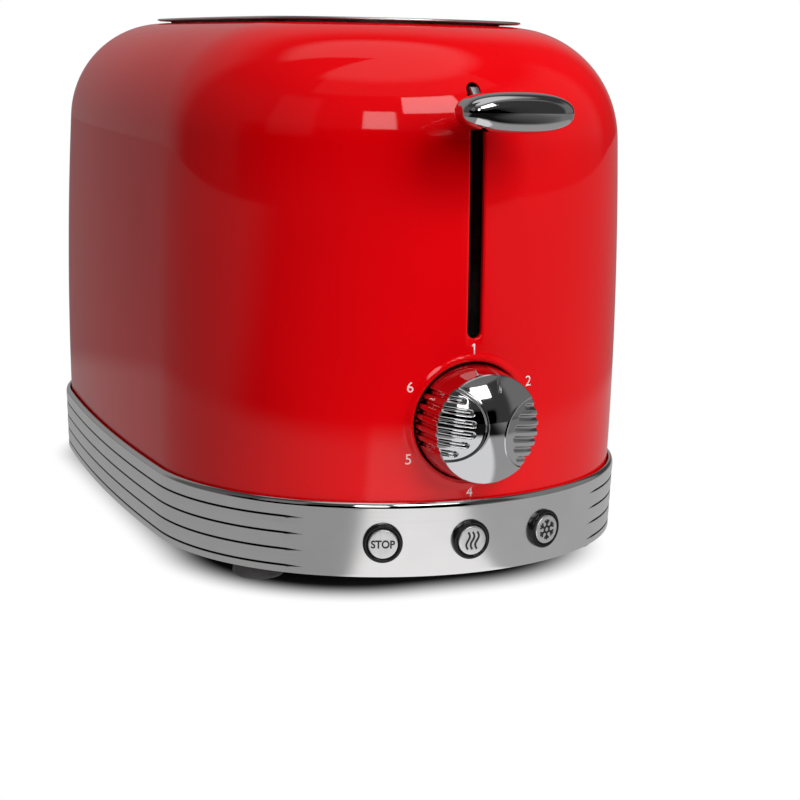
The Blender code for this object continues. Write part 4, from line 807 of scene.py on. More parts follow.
def makeSatinChrome():
    # The brush marks run along the band, so they follow its own map of length and height
    material, graph, shader, body = newFinish("satinChrome")
    place = graph.add("ShaderNodeUVMap", uv_map="bandMap")
    streaks = graph.noise(place, (chrome["streakLength"], chrome["streakFineness"], 1), 3)
    clouds = graph.noise(place, chrome["bandClouds"], 3)
    rough = graph.between(chrome["bandRoughness"], streaks * 0.7 + clouds * 0.3, *noiseRange)
    colour = graph.shades(graph.step(clouds, *narrowRange), chrome["bandColour"], 0.95)
    # Painted shadow darkens the groove bottoms over the real grooves; a polished round runs along the
    # top edge
    along, height, _ = graph.separate(place)
    back = graph.separate(body)[1]
    away = abs(grooveAbove(graph, band, height)) * band["groovePitch"]
    fade = graph.step(along, band["fadeStart"], band["fadeStart"] + band["fadeLength"])
    fade = fade.atLeast(graph.math("GREATER_THAN", back, plan["centreY"]))
    line = graph.step(fade - away / band["grooveShadowHalf"], 0.0, 0.5)
    rimLow = band["top"] - band["rimRise"]
    polished = graph.step(height, rimLow - band["rimBlend"], rimLow)
    graph.feed(shader, {
        "Base Color": graph.mixColour(line * chrome["grooveShadowStrength"], colour,
                                      rgba(chrome["grooveShadowColour"])),
        "Roughness": rough + polished * (chrome["rimRoughness"] - rough),
        "Normal": graph.bump(streaks, chrome["streakBump"]), "Metallic": 1.0})
    return material


paint["satinChrome"] = makeSatinChrome()


def newTree(name, inputs, output):
    # A node tree with its inputs' names given by type; the sockets come back by name
    tree = bpy.data.node_groups.new(name, "GeometryNodeTree")
    for kind, names in inputs.items():
        for socket in names:
            tree.interface.new_socket(socket, in_out="INPUT", socket_type="NodeSocket" + kind)
    tree.interface.new_socket(output, in_out="OUTPUT", socket_type="NodeSocketGeometry")
    graph = Graph(tree)
    given = tree.nodes.new("NodeGroupInput")
    return graph, {socket.name: Wire(graph, socket) for socket in given.outputs}


def endTree(graph, shaped, finish):
    shaped = graph.add("GeometryNodeRealizeInstances", {"Geometry": shaped})
    shaped = graph.add("GeometryNodeSetMaterial", {"Geometry": shaped, "Material": finish})
    graph.feed(graph.tree.nodes.new("NodeGroupOutput"), {0: shaped})
    return graph.tree


def sweepTree():
    graph, size = newTree("bandSweep", {"Geometry": ["path"], "Object": ["section"], "Float": bandSizes,
                                        "Material": ["finish"]}, "band")
    path = graph.add("GeometryNodeMeshToCurve", {"Mesh": size["path"]})
    section = graph.add("GeometryNodeObjectInfo", {"Object": size["section"]}, "Geometry")
    section = graph.add("GeometryNodeMeshToCurve", {"Mesh": section})
    swept = graph.add("GeometryNodeCurveToMesh", {"Curve": path, "Profile Curve": section})
    mark = {name: graph.add("GeometryNodeInputNamedAttribute", {"Name": name}, data_type=kind)
            for name, kind in {**pathMarks, "depth": "FLOAT"}.items()}
    height = graph.separate(graph.add("GeometryNodeInputPosition"))[2]
    apart = grooveAbove(graph, size, height)
    above = apart * size["groovePitch"]
    steepness = (above / size["upperFlank"]).atLeast((0 - above) / size["lowerFlank"])
    fade = graph.step((mark["along"] - size["fadeStart"]) / size["fadeLength"], 0.0, 1.0)
    fade = fade.atLeast(mark["rear"])
    groove = graph.step(fade - steepness, 0.0, 1.0)
    bulge = apart * 2
    pillow = (1 - bulge * bulge).atLeast(0.0) * fade * size["pillow"]
    inset = leanAt(size, height) + mark["depth"] + pillow + groove * size["grooveDepth"]
    offset = graph.add("ShaderNodeVectorMath", {0: mark["inward"], "Scale": inset},
                       operation="SCALE")
    shaped = graph.add("GeometryNodeSetPosition", {"Geometry": swept, "Offset": offset})
    return endTree(graph, shaped, size["finish"])


def growNodes(piece, tree, values):
    # A modifier's input goes by its socket's identifier
    nodesModifier = modify(piece, "NODES", node_group=tree)
    for socket in tree.interface.items_tree:
        if socket.in_out == "INPUT" and socket.name in values:
            nodesModifier[socket.identifier] = values[socket.name]
    return applied(piece)


def loopMesh(name, points):
    mesh = bpy.data.meshes.new(name)
    edges = [(index, (index + 1) % len(points)) for index in range(len(points))]
    mesh.from_pydata(points, edges, [])
    return mesh


def bandHeights(low, high):
    # Close rows across each groove, wide ones between
    heights = list(np.linspace(low, high, round((high - low) / band["rowStep"]) + 1))
    for number in range(band["lastGroove"] + 1):
        middle = band["top"] - band["topLand"] - number * band["groovePitch"]
        heights = [height for height in heights if abs(height - middle) > band["clearRow"]]
        heights += [middle + share * band["upperFlank" if share > 0 else "lowerFlank"]
                    for share in band["rowShares"]]
    return sorted(heights)


def bandSection():
    # Height and depth of the sheet's outline: the outer face is fine, the inner one coarse
    low, high = band["bottom"], band["top"]
    wall, edge, rise, small = band["wall"], band["rimRound"], band["rimRise"], band["innerRound"]
    points = [(0.0, height) for height in bandHeights(low + small, high - rise)]
    for turn in np.linspace(0, pi / 2, band["rimSteps"] + 1)[1:]:
        points.append((edge * (1 - cos(turn)), high - rise * (1 - sin(turn))))
    points += arcPoints((wall - small, high - small), small, pi / 2, 0, 4)[1:]
    rows = band["innerRows"]
    points += [(wall, high - small + (low - high + 2 * small) * row / rows) for row in range(1, rows)]
    points += arcPoints((wall - small, low + small), small, 0, -pi / 2, 3)
    points += arcPoints((small, low + small), small, -pi / 2, -pi, 3)[:-1]
    return points


def sweepBand():
    # The sheet's depth rides on the section as an attribute, so the sweep only carries heights
    turns = quarterTurns(band["columnStep"])
    columns = planColumns(turns, turns)
    path = loopMesh("bandPath", [(*planPlace(column, 0.0), 0.0) for column in columns])
    for name, kind in pathMarks.items():
        path.attributes.new(name, kind, "POINT")
    inward = [(-side * sin(turn), end * cos(turn), 0) for turn, side, end in columns]
    path.attributes["inward"].data.foreach_set("vector", np.ravel(inward))
    path.attributes["along"].data.foreach_set("value", [arcLength(column[0]) for column in columns])
    path.attributes["rear"].data.foreach_set("value", [float(column[2] < 0) for column in columns])
    points = bandSection()
    section = loopMesh("bandSection", [(0.0, -height, 0.0) for _, height in points])
    depth = section.attributes.new("depth", "FLOAT", "POINT")
    depth.data.foreach_set("value", [reach for reach, _ in points])
    holder = newPiece("chromeBand", path, "satinChrome")
    guide = newPiece("bandSection", section, "satinChrome")
    values = {name: float(band[name]) for name in bandSizes}
    growNodes(holder, sweepTree(), {**values, "section": guide, "finish": paint["satinChrome"]})
    bpy.data.objects.remove(guide, do_unlink=True)
    holder.data = painted(cleaned(bmOf(holder.data), "chromeBand"), "satinChrome")
    return holder


def boxCutter(name, low, high):
    bm = bmesh.new()
    bmesh.ops.create_cube(bm, size=1)
    bmesh.ops.scale(bm, vec=Vector(high) - Vector(low), verts=bm.verts)
    bmesh.ops.translate(bm, vec=(Vector(high) + Vector(low)) / 2, verts=bm.verts)
    return newPiece(name, cleaned(bm, name), "blackMoulding")


def rodCutter(name, outward, place, radius):
    inside, outside = band["cutInside"], band["cutOutside"]
    profile = [(0, outside), (radius, outside), (radius, -inside), (0, -inside)]
    mesh = lathe(name, profile, facing(outward, place), band["cutSides"])
    return newPiece(name, mesh, "blackMoulding")


button = {
    "names": ("stop", "reheat", "defrost"),
    "ringRadius": 0.0067,
    "ringProud": 0.0017,
    "ringSeat": 0.0003,
    "boreRadius": 0.0052,
    "barrelRadius": 0.0060,
    "barrelDepth": 0.0060,
    "capRadius": 0.0050,
    "capProud": 0.0021,
    "capDepth": 0.0050,
    "capRound": 0.0005,
    "capDish": ((0, 0.00012), (0.55, 0.00008)),
    "stemRadius": 0.0018,
    "stemReach": 0.0100,
    "sides": 96,
}


def buttonFrame(name):
    axis = Vector(joints[name + "_press"]["axis"])
    height = centreOf("button_" + name)[2]
    reach = plan["noseRadius"] - leanAt(band, height)
    return facing(-axis, Vector((0, frontY + plan["noseRadius"], height)) - axis * reach)


def cutBand(piece):
    cutters = []
    for name in button["names"]:
        place = buttonFrame(name)
        outward = place.to_3x3() @ Vector((0, 0, 1))
        cutters.append(rodCutter("buttonHole", outward, place.translation,
                                 button["barrelRadius"] + band["buttonGap"]))
    low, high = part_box("tray_grip")
    sideways, upward = band["windowGap"]
    cutters.append(boxCutter(
        "trayWindow", (low.x - sideways, rearY - band["windowDepth"], low.z - upward),
        (high.x + sideways, rearY + band["cutOutside"], high.z + upward)))
    cutters.append(rodCutter("cordHole", (0, 1, 0), (0, rearY, centreOf("cord_grommet")[2]),
                             band["cordHole"]))
    return carve(piece, cutters)


def mapBand(piece):
    # The band's own map: length round the plan, folded at both ends, and height
    mesh = piece.data
    places = np.empty(len(mesh.vertices) * 3)
    mesh.vertices.foreach_get("co", places)
    places = places.reshape(-1, 3)
    turns = np.linspace(0, pi / 2, band["mapSteps"])
    outline = np.array([quarterPoint(turn, band["wall"] / 2) for turn in turns])
    lengths = np.array([arcLength(turn) for turn in turns])
    across = np.abs(places[:, 0])
    depth = plan["halfLength"] - np.abs(places[:, 1] - plan["centreY"])
    gap = (across[:, None] - outline[None, :, 0]) ** 2 + (depth[:, None] - outline[None, :, 1]) ** 2
    along = lengths[np.argmin(gap, axis=1)]
    corners = np.empty(len(mesh.loops), int)
    mesh.loops.foreach_get("vertex_index", corners)
    layer = mesh.uv_layers.new(name="bandMap")
    layer.data.foreach_set("uv", np.stack([along[corners], places[corners, 2]], axis=1).ravel())
    return piece


attach(resharpen(mapBand(cutBand(sweepBand())), radians(42)), "body", "base_band")
print("band swept")

# Steel top plate with two rolled bread slots
plate = {
    "top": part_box("top_plate")[1].z,
    "columnStep": 0.004,
    "outline": 0.0402,
    "edgeRound": 0.0006,
    "slotX": 0.027,
    "slotHalfWidth": 0.016,
    "slotHalfLength": 0.072,
    "slotCorner": 0.008,
    "cornerSteps": 10,
    "edgeSteps": 4,
    "rollSteps": 8,
    "rollRadius": 0.0024,
    "lipDepth": 0.0048,
    "sheet": 0.0009,
}


def slotRing(side, offset):
    # Points round a bread slot widened by an offset, from the right side on
    radius = plate["slotCorner"] + offset
    halfX = plate["slotHalfWidth"] + offset - radius
    halfY = plate["slotHalfLength"] + offset - radius
    points = []
    for number, (sideX, sideY) in enumerate([(1, 1), (-1, 1), (-1, -1), (1, -1)]):
        middle = (side * plate["slotX"] + sideX * halfX, plan["centreY"] + sideY * halfY)
        points += arcPoints(middle, radius, number * pi / 2, (number + 1) * pi / 2,
                            plate["cornerSteps"])
    return points


def addStrip(bm, loops):
    # Quads between closed loops that have the same number of points
    rings = [[bm.verts.new(point) for point in loop] for loop in loops]
    for inner, outer in zip(rings, rings[1:]):
        for index in range(len(inner)):
            after = (index + 1) % len(inner)
            bm.faces.new((inner[index], inner[after], outer[after], outer[index]))
    return rings


def lastEdges(bm, rings):
    ring = rings[-1]
    return [bm.edges.get(pair) for pair in zip(ring, ring[1:] + ring[:1])]


def makeTopPlate():
    top, edge, roll = plate["top"], plate["edgeRound"], plate["rollRadius"]
    bm = bmesh.new()
    turns = quarterTurns(plate["columnStep"])
    columns = planColumns(turns, turns)
    outer = [[(*planPlace(column, plate["outline"] + edge * (1 - cos(turn))),
               top - edge + edge * sin(turn)) for column in columns]
             for turn in roundTurns(plate["edgeSteps"])]
    flatEdges = lastEdges(bm, addStrip(bm, outer))
    sections = [(0.0, top - roll - plate["lipDepth"])]
    sections += [(roll * (1 - cos(turn)), top - roll + roll * sin(turn))
                 for turn in roundTurns(plate["rollSteps"])]
    for side in (-1, 1):
        loops = [[(x, y, height) for x, y in slotRing(side, offset)] for offset, height in sections]
        flatEdges += lastEdges(bm, addStrip(bm, loops))
    bmesh.ops.triangle_fill(bm, use_beauty=True, use_dissolve=False, edges=flatEdges)
    bmesh.ops.recalc_face_normals(bm, faces=bm.faces)
    if sum(face.normal.z * face.calc_area() for face in bm.faces) < 0:
        bmesh.ops.reverse_faces(bm, faces=bm.faces)
    piece = newPiece("steelTopPlate", meshFrom(bm, "steelTopPlate"), "brushedSteel")
    modify(piece, "SOLIDIFY", thickness=plate["sheet"], offset=-1)
    return attach(resharpen(applied(piece), radians(38)), "body", "top_plate")


makeTopPlate()
print("top plate pressed")

# Browning knob: a domed face with two sunk grip pads, flutes that run over the edge, a pointer
knob = {
    "baseRadius": 0.0196,
    "rimRadius": 0.0183,
    "rimReach": 0.0132,
    "domeReach": 0.0195,
    "sink": 0.0046,
    "edgeRound": 0.0014,
    "turn": radians(8),
    "webHalf": 0.0036,
    "padRadius": 0.0120,
    "padStep": 0.0008,
    "padWall": 0.0005,
    "beadRise": 0.00016,
    "beadHalf": 0.00030,
    "flutePitch": 0.0035,
    "fluteCount": 6,
    "fluteHalf": 0.00128,
    "fluteDepth": 0.00110,
    "fluteInset": 0.0030,
    "fluteSink": 0.0030,
    "fluteRunOut": 0.0006,
    "pointerSpan": (86, 94),
    "pointerFrom": 0.0128,
    "pointerHalf": 0.00042,
    "pointerSide": 0.00025,
    "pointerRunIn": 0.0005,
    "pointerDepth": 0.0006,
    "denseHalfAngle": 52,
    "denseStep": 0.58,
    "coarseStep": 2.0,
    "pointerStep": 0.35,
    "faceRings": 92,
    "edgeRows": 9,
    "edgeTrials": 12,
    "wallRows": 34,
}
knob["padMiddle"] = knob["webHalf"] + knob["padRadius"]
knobFrame = facing((0, -1, 0), knobCentre) @ Matrix.Rotation(-knob["turn"], 4, "Z")
knobRise = knob["domeReach"] - knob["rimReach"]
knobSphere = (knob["rimRadius"] ** 2 + knobRise ** 2) / (2 * knobRise)


def knobSide(reach):
    taper = (knob["rimRadius"] - knob["baseRadius"]) / knob["rimReach"]
    return knob["baseRadius"] + taper * np.maximum(reach, 0)


def smooth(value):
    value = np.clip(value, 0, 1)
    return value * value * (3 - 2 * value)


def knobFace(x, z):
    # The dome, with a pad one step below it on each side and a fine bead round each pad
    inside = knob["padRadius"] - np.hypot(np.abs(x) - knob["padMiddle"], z)
    bead = np.exp(-((inside + knob["beadHalf"]) / knob["beadHalf"]) ** 2)
    dome = knob["domeReach"] - knobSphere + np.sqrt(knobSphere ** 2 - np.hypot(x, z) ** 2)
    return dome - knob["padStep"] * smooth(inside / knob["padWall"]) + knob["beadRise"] * bead


def fluteDepth(x, z, reach):
    # Hollow flutes with round inner ends; each runs out over the edge and down the side wall
    depth = np.zeros_like(x)
    for number in range(knob["fluteCount"]):
        height = (number - (knob["fluteCount"] - 1) / 2) * knob["flutePitch"]
        start = knob["padMiddle"] - sqrt(knob["padRadius"] ** 2 - height ** 2)
        start = start + knob["fluteInset"] + knob["fluteHalf"]
        away = np.hypot(z - height, np.maximum(start - np.abs(x), 0)) / knob["fluteHalf"]
        depth = depth + np.cos(np.minimum(away, 1) * pi / 2) ** 2
    return knob["fluteDepth"] * depth * smooth((reach + knob["fluteSink"]) / knob["fluteRunOut"])


def pointerDepth(x, z):
    across = smooth((knob["pointerHalf"] - np.abs(x)) / knob["pointerSide"] + 0.5)
    return knob["pointerDepth"] * across * smooth((z - knob["pointerFrom"]) / knob["pointerRunIn"])


def knobTurns():
    # Close columns over the pads, at 0 and 180 degrees, and over the pointer; wide ones elsewhere
    half, dense, coarse = knob["denseHalfAngle"], knob["denseStep"], knob["coarseStep"]
    left, right = knob["pointerSpan"]
    spans = [(-half, half, dense), (half, left, coarse), (left, right, knob["pointerStep"]),
             (right, 180 - half, coarse), (180 - half, 180 + half, dense),
             (180 + half, 360 - half, coarse)]
    return np.radians(np.concatenate([
        np.linspace(first, last, round((last - first) / step), endpoint=False)
        for first, last, step in spans]))


def makeKnob():
    # Each column is face, rounded edge and side wall; flutes and pointer then sink into all three
    turns = knobTurns()
    across, up = np.cos(turns), np.sin(turns)
    wallTurn = atan2(knob["baseRadius"] - knob["rimRadius"], knob["rimReach"])
    bend = knob["edgeRound"]
    edge = np.full(len(turns), knob["rimRadius"])
    for _ in range(knob["edgeTrials"]):
        faceTurn = np.arcsin(edge / knobSphere)
        centreR = edge - bend * np.sin(faceTurn)
        centreZ = knobFace(edge * across, edge * up) - bend * np.cos(faceTurn)
        edge = edge - (centreR + bend * cos(wallTurn) - knobSide(centreZ + bend * sin(wallTurn)))
    # Each row: radius, reach and the share of a groove's depth that goes inwards
    rows = []
    for ring in range(knob["faceRings"] + 1):
        radius = edge * ring / knob["faceRings"]
        rows.append((radius, knobFace(radius * across, radius * up), 0 * edge))
    for row in range(1, knob["edgeRows"] + 1):
        tilt = faceTurn + (pi / 2 - wallTurn - faceTurn) * row / knob["edgeRows"]
        rows.append((centreR + bend * np.sin(tilt), centreZ + bend * np.cos(tilt),
                     smooth(row / knob["edgeRows"]) + 0 * edge))
    start = rows[-1][1]
    for row in range(1, knob["wallRows"] + 1):
        reach = start + (-knob["sink"] - start) * row / knob["wallRows"]
        rows.append((knobSide(reach), reach, 1 + 0 * edge))
    radii, reaches, shares = (np.stack(values, axis=1) for values in zip(*rows))
    x, z = radii * across[:, None], radii * up[:, None]
    flute, pointer = fluteDepth(x, z, reaches), pointerDepth(x, z)
    points = np.stack([x - np.sign(x) * flute * shares, z - pointer * shares,
                       reaches - (flute + pointer) * (1 - shares)], axis=2)
    back = points[:, -1:, :] * (0, 0, 1)
    mesh = gridMesh("browningKnob", np.concatenate([points, back], axis=1), matrix=knobFrame)
    attach(newPiece("browningKnob", mesh, "brightChrome", radians(75)), "browning_control",
           "browning_knob")


makeKnob()
print("knob turned")

# Lever knob: a rounded bar that swells from its root and ends in a soft face
lever = {
    "rootHalf": (0.0092, 0.0050),
    "half": (0.0189, 0.0064),
    "squareness": 2.5,
    "swellShare": 0.62,
    "rootShare": 0.03,
    "noseShare": 0.26,
    "noseReach": 0.9,
    "nosePower": 2.6,
    "noseHeight": 0.25,
    "columns": 96,
    "rows": 54,
}


def squared(value):
    return abs(value) ** (2 / lever["squareness"]) * (1 if value >= 0 else -1)


def makeLeverKnob():
    low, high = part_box("lever_knob")
    middle = (low.z + high.z) / 2
    length = high.y - low.y
    sections = []
    for row in range(lever["rows"] + 1):
        share = row / lever["rows"]
        swell = float(smooth(share / lever["swellShare"]))
        halfWidth, halfHeight = (root + (full - root) * swell
                                 for root, full in zip(lever["rootHalf"], lever["half"]))
        past = max(0.0, (share - 1 + lever["noseShare"]) / lever["noseShare"])
        shrink = sqrt(max(0.0, 1 - past ** lever["nosePower"]))
        rootRound = min(1.0, share / lever["rootShare"]) ** 0.5
        halfWidth = halfWidth - lever["noseShare"] * length * lever["noseReach"] * (1 - shrink)
        halfHeight = halfHeight * (lever["noseHeight"] + (1 - lever["noseHeight"]) * shrink)
        sections.append((halfWidth, halfHeight, rootRound, high.y - length * share))
    grid = []
    for column in range(lever["columns"]):
        turn = 2 * pi * column / lever["columns"]
        x, z = squared(cos(turn)), squared(sin(turn))
        grid.append([(0, high.y, middle)]
                    + [(x * halfWidth * rootRound, y, middle + z * halfHeight * rootRound)
                       for halfWidth, halfHeight, rootRound, y in sections] + [(0, low.y, middle)])
    piece = newPiece("leverKnob", gridMesh("leverKnob", grid), "brightChrome", radians(50))
    attach(piece, "carriage", "lever_knob")


makeLeverKnob()
print("lever knob formed")

# Feet, buttons and grommet are turned
foot = {"radius": 0.0090, "waist": 0.0087, "waistRound": 0.0006, "round": 0.0014, "stud": 0.0030,
        "seat": 0.0002, "waistShare": 0.55, "dimple": 0.0006, "dimpleShares": (0.62, 0.56, 0.5),
        "sides": 64}
grommet = {"bore": 0.0033, "barrel": 0.0044, "radius": 0.0058, "proud": 0.0018, "seat": 0.0002,
           "deep": 0.0060, "boreRound": 0.0005, "round": 0.0012, "sides": 64}


def makeFeet():
    radius, waist, edge, small = foot["radius"], foot["waist"], foot["round"], foot["waistRound"]
    for corner in ("front_left", "front_right", "rear_left", "rear_right"):
        name = "foot_" + corner
        x, y, _ = centreOf(name)
        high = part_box(name)[1].z
        top = bandLow.z + foot["seat"]
        profile = [(0, high), (foot["stud"], high), (foot["stud"], top)]
        profile += arcPoints((waist - small, top - small), small, pi / 2, 0, 4)
        profile += [(waist, top * foot["waistShare"])]
        profile += arcPoints((radius - edge, edge), edge, 0, -pi / 2, 8)
        profile += [(radius * share, height)
                    for share, height in zip(foot["dimpleShares"], (0.0, foot["dimple"], 0.0))]
        profile += [(0, 0)]
        mesh = lathe(name, profile, Matrix.Translation((x, y, 0)), foot["sides"])
        attach(newPiece("rubberFoot_" + corner, mesh, "footRubber"), "body", name)


def flatText(words, size, bold=0.0, width=1.0):
    # Upright letters as a flat mesh, centred on their own middle
    text = bpy.data.curves.new("letters", "FONT")
    text.body = words
    text.size = size
    text.offset = bold
    text.align_x = text.align_y = "CENTER"
    text.resolution_u = legend["letterSteps"]
    holder = addObject("letters", text)
    mesh = meshOf(holder)
    bpy.data.objects.remove(holder, do_unlink=True)
    places = np.array([vertex.co[:] for vertex in mesh.vertices])
    middle = (places.min(axis=0) + places.max(axis=0)) / 2
    mesh.transform(Matrix.Diagonal((width, 1, 1, 1)) @ Matrix.Translation(-Vector(middle)))
    return mesh


def strokes(paths, halfWidth):
    # Flat strokes along open paths
    bm = bmesh.new()
    for path in paths:
        pairs = []
        for index, (x, y) in enumerate(path):
            before = path[max(0, index - 1)]
            after = path[min(len(path) - 1, index + 1)]
            run = Vector((after[0] - before[0], after[1] - before[1])).normalized()
            pairs.append([bm.verts.new((x - run.y * side, y + run.x * side, 0))
                          for side in (halfWidth, -halfWidth)])
        for here, there in zip(pairs, pairs[1:]):
            bm.faces.new((here[0], here[1], there[1], there[0]))
    return meshFrom(bm, "strokes")


def printed(name, mesh, finish, thickness):
    # A film of ink: the flat mark gets a thickness outwards
    piece = newPiece(name, mesh, finish)
    modify(piece, "SOLIDIFY", thickness=thickness, offset=1)
    return applied(piece)


legend = {
    "letterSize": 0.0037,
    "letterBold": 0.00010,
    "letterWidth": 0.90,
    "letterSteps": 8,
    "inkThickness": 0.00005,
    "inkSink": 0.00003,
    "strokeHalf": 0.00034,
    "waveHeight": 0.0060,
    "waveSwing": 0.00062,
    "waveGap": 0.00165,
    "waveSteps": 24,
    "flakeRadius": 0.0036,
    "flakeHole": 0.0009,
    "flakeBranch": 0.0013,
    "branchShares": (1.1, 0.35, 0.8),
    "flakeRing": 0.0002,
}


def wavePaths():
    shares = [step / legend["waveSteps"] for step in range(legend["waveSteps"] + 1)]
    return [[(shift * legend["waveGap"] - legend["waveSwing"] * sin(2 * pi * share),
              legend["waveHeight"] * (share - 0.5)) for share in shares] for shift in (-1, 0, 1)]


def flakePaths():
    hole, tip = legend["flakeHole"], legend["flakeRadius"]
    root, end, reach = (legend["flakeBranch"] * share for share in legend["branchShares"])
    arm = [[(hole, 0), (tip, 0)]]
    arm += [[(tip - root, 0), (tip - end, side * reach)] for side in (-1, 1)]
    turns = [Matrix.Rotation(number * pi / 3 + pi / 2, 2) for number in range(6)]
    paths = [[tuple(turn @ Vector(point)) for point in path] for turn in turns for path in arm]
    return paths + [arcPoints((0, 0), hole + legend["flakeRing"], 0, 2 * pi, 18)]


def makeButtons():
    marks = {"stop": flatText("STOP", legend["letterSize"], legend["letterBold"],
                              legend["letterWidth"]),
             "reheat": strokes(wavePaths(), legend["strokeHalf"]),
             "defrost": strokes(flakePaths(), legend["strokeHalf"])}
    bore, outer, barrel = button["boreRadius"], button["ringRadius"], button["barrelRadius"]
    crown = (outer - bore) / 2
    ringProfile = arcPoints((bore + crown, button["ringProud"] - crown), crown, pi, 0, 16)
    ringProfile += [(outer, -button["ringSeat"]), (barrel, -button["ringSeat"]),
                    (barrel, -button["barrelDepth"]), (bore, -button["barrelDepth"])]
    top, cap, edge = button["capProud"], button["capRadius"], button["capRound"]
    depth, stem, reach = button["capDepth"], button["stemRadius"], button["stemReach"]
    capProfile = [(cap * share, top - dish) for share, dish in button["capDish"]] + [(cap - edge, top)]
    capProfile += arcPoints((cap - edge, top - edge), edge, pi / 2, 0, 6)
    capProfile += [(cap, -depth), (stem, -depth), (stem, -reach), (0, -reach)]
    for name in button["names"]:
        place, node = buttonFrame(name), "button_" + name
        ring = lathe("ring", ringProfile, place, button["sides"], True)
        attach(newPiece("buttonRing_" + name, ring, "glossBlack"), "body", "button_ring_" + name)
        disc = lathe("disc", capProfile, place, button["sides"])
        attach(newPiece("buttonDisc_" + name, disc, "silverDisc"), node, node)
        marks[name].transform(place @ Matrix.Translation((0, 0, top - legend["inkSink"])))
        attach(printed("legend_" + name, marks[name], "legendInk", legend["inkThickness"]), node)


def makeGrommet():
    bore, barrel, outer, deep = (grommet[key] for key in ("bore", "barrel", "radius", "deep"))
    proud, seat, small, edge = (grommet[key] for key in ("proud", "seat", "boreRound", "round"))
    profile = arcPoints((bore + small, proud - small), small, pi, pi / 2, 4)
    profile += arcPoints((outer - edge, proud - edge), edge, pi / 2, 0, 6)
    profile += [(outer, seat), (barrel, seat), (barrel, -deep), (bore, -deep)]
    place = facing((0, 1, 0), (0, rearY, centreOf("cord_grommet")[2]))
    mesh = lathe("cordGrommet", profile, place, grommet["sides"], True)
    attach(newPiece("cordGrommet", mesh, "footRubber"), "body", "cord_grommet")


makeFeet()
makeButtons()
makeGrommet()
print("feet, buttons and grommet made")

# Browning numbers printed round the knob, one every sixty degrees
dial = {
    "ringUp": 0.0243,
    "ringAcross": 0.0249,
    "size": 0.0050,
    "inkThickness": 0.00004,
    "inkSink": 0.00002,
    "stepDegrees": 60,
    "one": [[(-0.00085, 0.0009), (0.0, 0.00172)], [(0.0, 0.00175), (0.0, -0.00175)]],
    "oneHalf": 0.00026,
}


def makeDial():
    for number in range(1, 7):
        turn = radians(90 - dial["stepDegrees"] * (number - 1))
        if number == 1:
            bm = bmOf(strokes(dial["one"], dial["oneHalf"]))
        else:
            bm = bmOf(flatText(str(number), dial["size"]))
        bmesh.ops.subdivide_edges(bm, edges=bm.edges, cuts=1)
        bmesh.ops.triangulate(bm, faces=bm.faces)
        for vertex in bm.verts:
            x = vertex.co.x + dial["ringAcross"] * cos(turn)
            z = knobCentre.z + vertex.co.y + dial["ringUp"] * sin(turn)
            vertex.co = (x, frontSurface(x, z) - dial["inkSink"], z)
        mesh = meshFrom(bm, "number")
        attach(printed(f"dialNumber_{number}", mesh, "dialPrint", dial["inkThickness"]), "body")


makeDial()
print("dial printed")

# Heater windings and bread guards repeat along the toaster
heater = {"pitch": 0.0042, "ribbonWidth": 0.0016, "ribbonThickness": 0.00025}
guard = {"pitch": 0.020, "wireRadius": 0.0008, "barRadius": 0.0012, "endRound": 0.4, "sides": 14}


def rowTree():
    # Copies of one piece in a row along Y
    graph, size = newTree("rowAlongToaster", {"Geometry": ["piece"], "Float": ["start", "pitch"],
                                              "Int": ["count"], "Material": ["finish"]}, "row")
    start, offset = (graph.add("ShaderNodeCombineXYZ", {"Y": size[name]})
                     for name in ("start", "pitch"))
    line = graph.add("GeometryNodeMeshLine",
                     {"Count": size["count"], "Start Location": start, "Offset": offset})
    row = graph.add("GeometryNodeInstanceOnPoints", {"Points": line, "Instance": size["piece"]})
    return endTree(graph, row, size["finish"])


rowNodes = rowTree()


def repeated(name, mesh, finish, middle, pitch, count):
    return growNodes(newPiece(name, mesh, finish), rowNodes, {
        "start": middle - pitch * (count - 1) / 2, "pitch": pitch, "count": count,
        "finish": paint[finish]})


def ribbonTurn(low, high):
    # One flat turn of ribbon round the board
    x, halfX = (low.x + high.x) / 2, (high.x - low.x) / 2
    width, thick = heater["ribbonWidth"] / 2, heater["ribbonThickness"]
    bm = bmesh.new()
    loops = []
    for y, grow in ((-width, 0), (width, 0), (width, -thick), (-width, -thick)):
        left, right = x - halfX - grow, x + halfX + grow
        bottom, top = low.z - grow, high.z + grow
        loops.append([(left, y, bottom), (right, y, bottom), (right, y, top), (left, y, top)])
    addStrip(bm, loops + [loops[0]])
    return cleaned(bm, "ribbonTurn")


def makeHeaters():
    for place in ("left", "middle", "right"):
        name = "heating_wire_" + place
        low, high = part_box(name)
        count = int((high.y - low.y - heater["ribbonWidth"]) / heater["pitch"]) + 1
        piece = repeated("heaterRibbon_" + place, ribbonTurn(low, high), "heaterRibbon",
                         centreOf(name)[1], heater["pitch"], count)
        attach(piece, "body", name)


def straightWire(start, end, radius):
    run = Vector(end) - Vector(start)
    matrix = Matrix.Translation(start) @ run.to_track_quat("Z", "Y").to_matrix().to_4x4()
    edge = radius * guard["endRound"]
    profile = [(0, 0), (radius - edge, 0), (radius, edge), (radius, run.length - edge),
               (radius - edge, run.length), (0, run.length)]
    return lathe("wire", profile, matrix, guard["sides"])


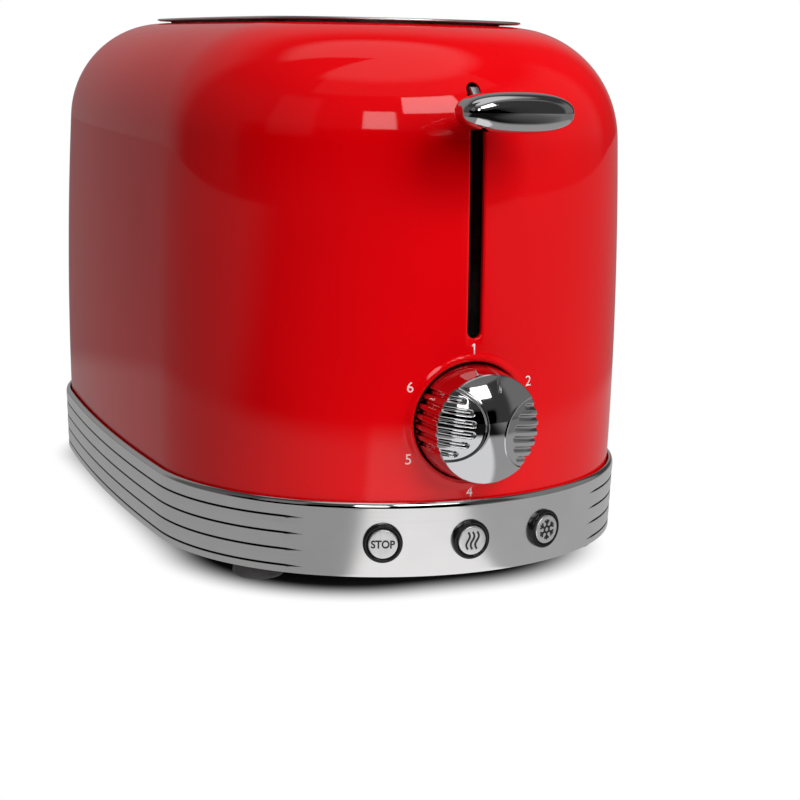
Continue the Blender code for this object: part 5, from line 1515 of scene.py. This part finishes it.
def makeGuards():
    for place in ("left_inner", "left_outer", "right_inner", "right_outer"):
        name = "bread_guard_" + place
        low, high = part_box(name)
        x, y, _ = centreOf(name)
        radius = guard["barRadius"]
        bottom, top = low.z + radius, high.z - radius
        count = 2 * int((high.y - low.y) / 2 / guard["pitch"] - 0.5) + 1
        wire = straightWire((x, 0, bottom), (x, 0, top), guard["wireRadius"])
        piece = repeated("guardWires_" + place, wire, "springSteel", y, guard["pitch"], count)
        bars = [newPiece("bar", straightWire((x, low.y, height), (x, high.y, height), radius),
                         "springSteel") for height in (bottom, top)]
        attach(resharpen(carve(piece, bars, "UNION"), radians(50)), "body", name)


makeHeaters()
makeGuards()
print("heaters and guards placed")

# Sheet, moulded and wire pieces keep their CAD shape, with softened edges where that shows
softened = [
    ("blackMoulding", 0.0004, "base_plate"),
    ("trayAluminium", 0.0002, "crumb_tray"),
    ("blackMoulding", 0.0007, "tray_grip"),
    ("springSteel", 0.0002, "bread_rack_left bread_rack_right"),
    ("zincSheet", 0.0002, "front_chassis rear_chassis carriage_bracket"),
    ("zincSheet", 0.0003, "lever_arm"),
    ("ivoryMoulding", 0.0003, "terminal_block"),
    ("blackMoulding", 0.0003, "switch_stop switch_reheat switch_defrost"),
    ("springSteel", 0.0002, "latch_keeper"),
]
flatAngle, edgeAngle = radians(1), radians(40)
repainted = {
    "zincSheet": "heat_shield_left heat_shield_right potentiometer knob_shaft",
    "micaBoard": "heating_board_left heating_board_middle heating_board_right",
    "copperWinding": "electromagnet",
    "circuitLaminate": "control_board button_board",
    "springSteel": "guide_rod lift_spring chassis_screw_1 chassis_screw_2 chassis_screw_3 "
                   "chassis_screw_4 board_screw_1 board_screw_2",
}


def soften(name, finish, width):
    bm = bmOf(nodes[name].data)
    bmesh.ops.remove_doubles(bm, verts=bm.verts, dist=cadMergeDistance)
    bmesh.ops.dissolve_limit(bm, angle_limit=flatAngle, verts=bm.verts, edges=bm.edges)
    piece = newPiece("soft_" + name, meshFrom(bm, "soft_" + name), finish)
    modify(piece, "BEVEL", width=width, segments=2, limit_method="ANGLE", angle_limit=edgeAngle)
    attach(resharpen(applied(piece), edgeAngle), nodes[name]["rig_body"], name)


for finishName, edgeWidth, nodeNames in softened:
    for nodeName in nodeNames.split():
        soften(nodeName, finishName, edgeWidth)
for finishName, nodeNames in repainted.items():
    for nodeName in nodeNames.split():
        for materialSlot in nodes[nodeName].material_slots:
            materialSlot.material = paint[finishName]
print("inner pieces finished")
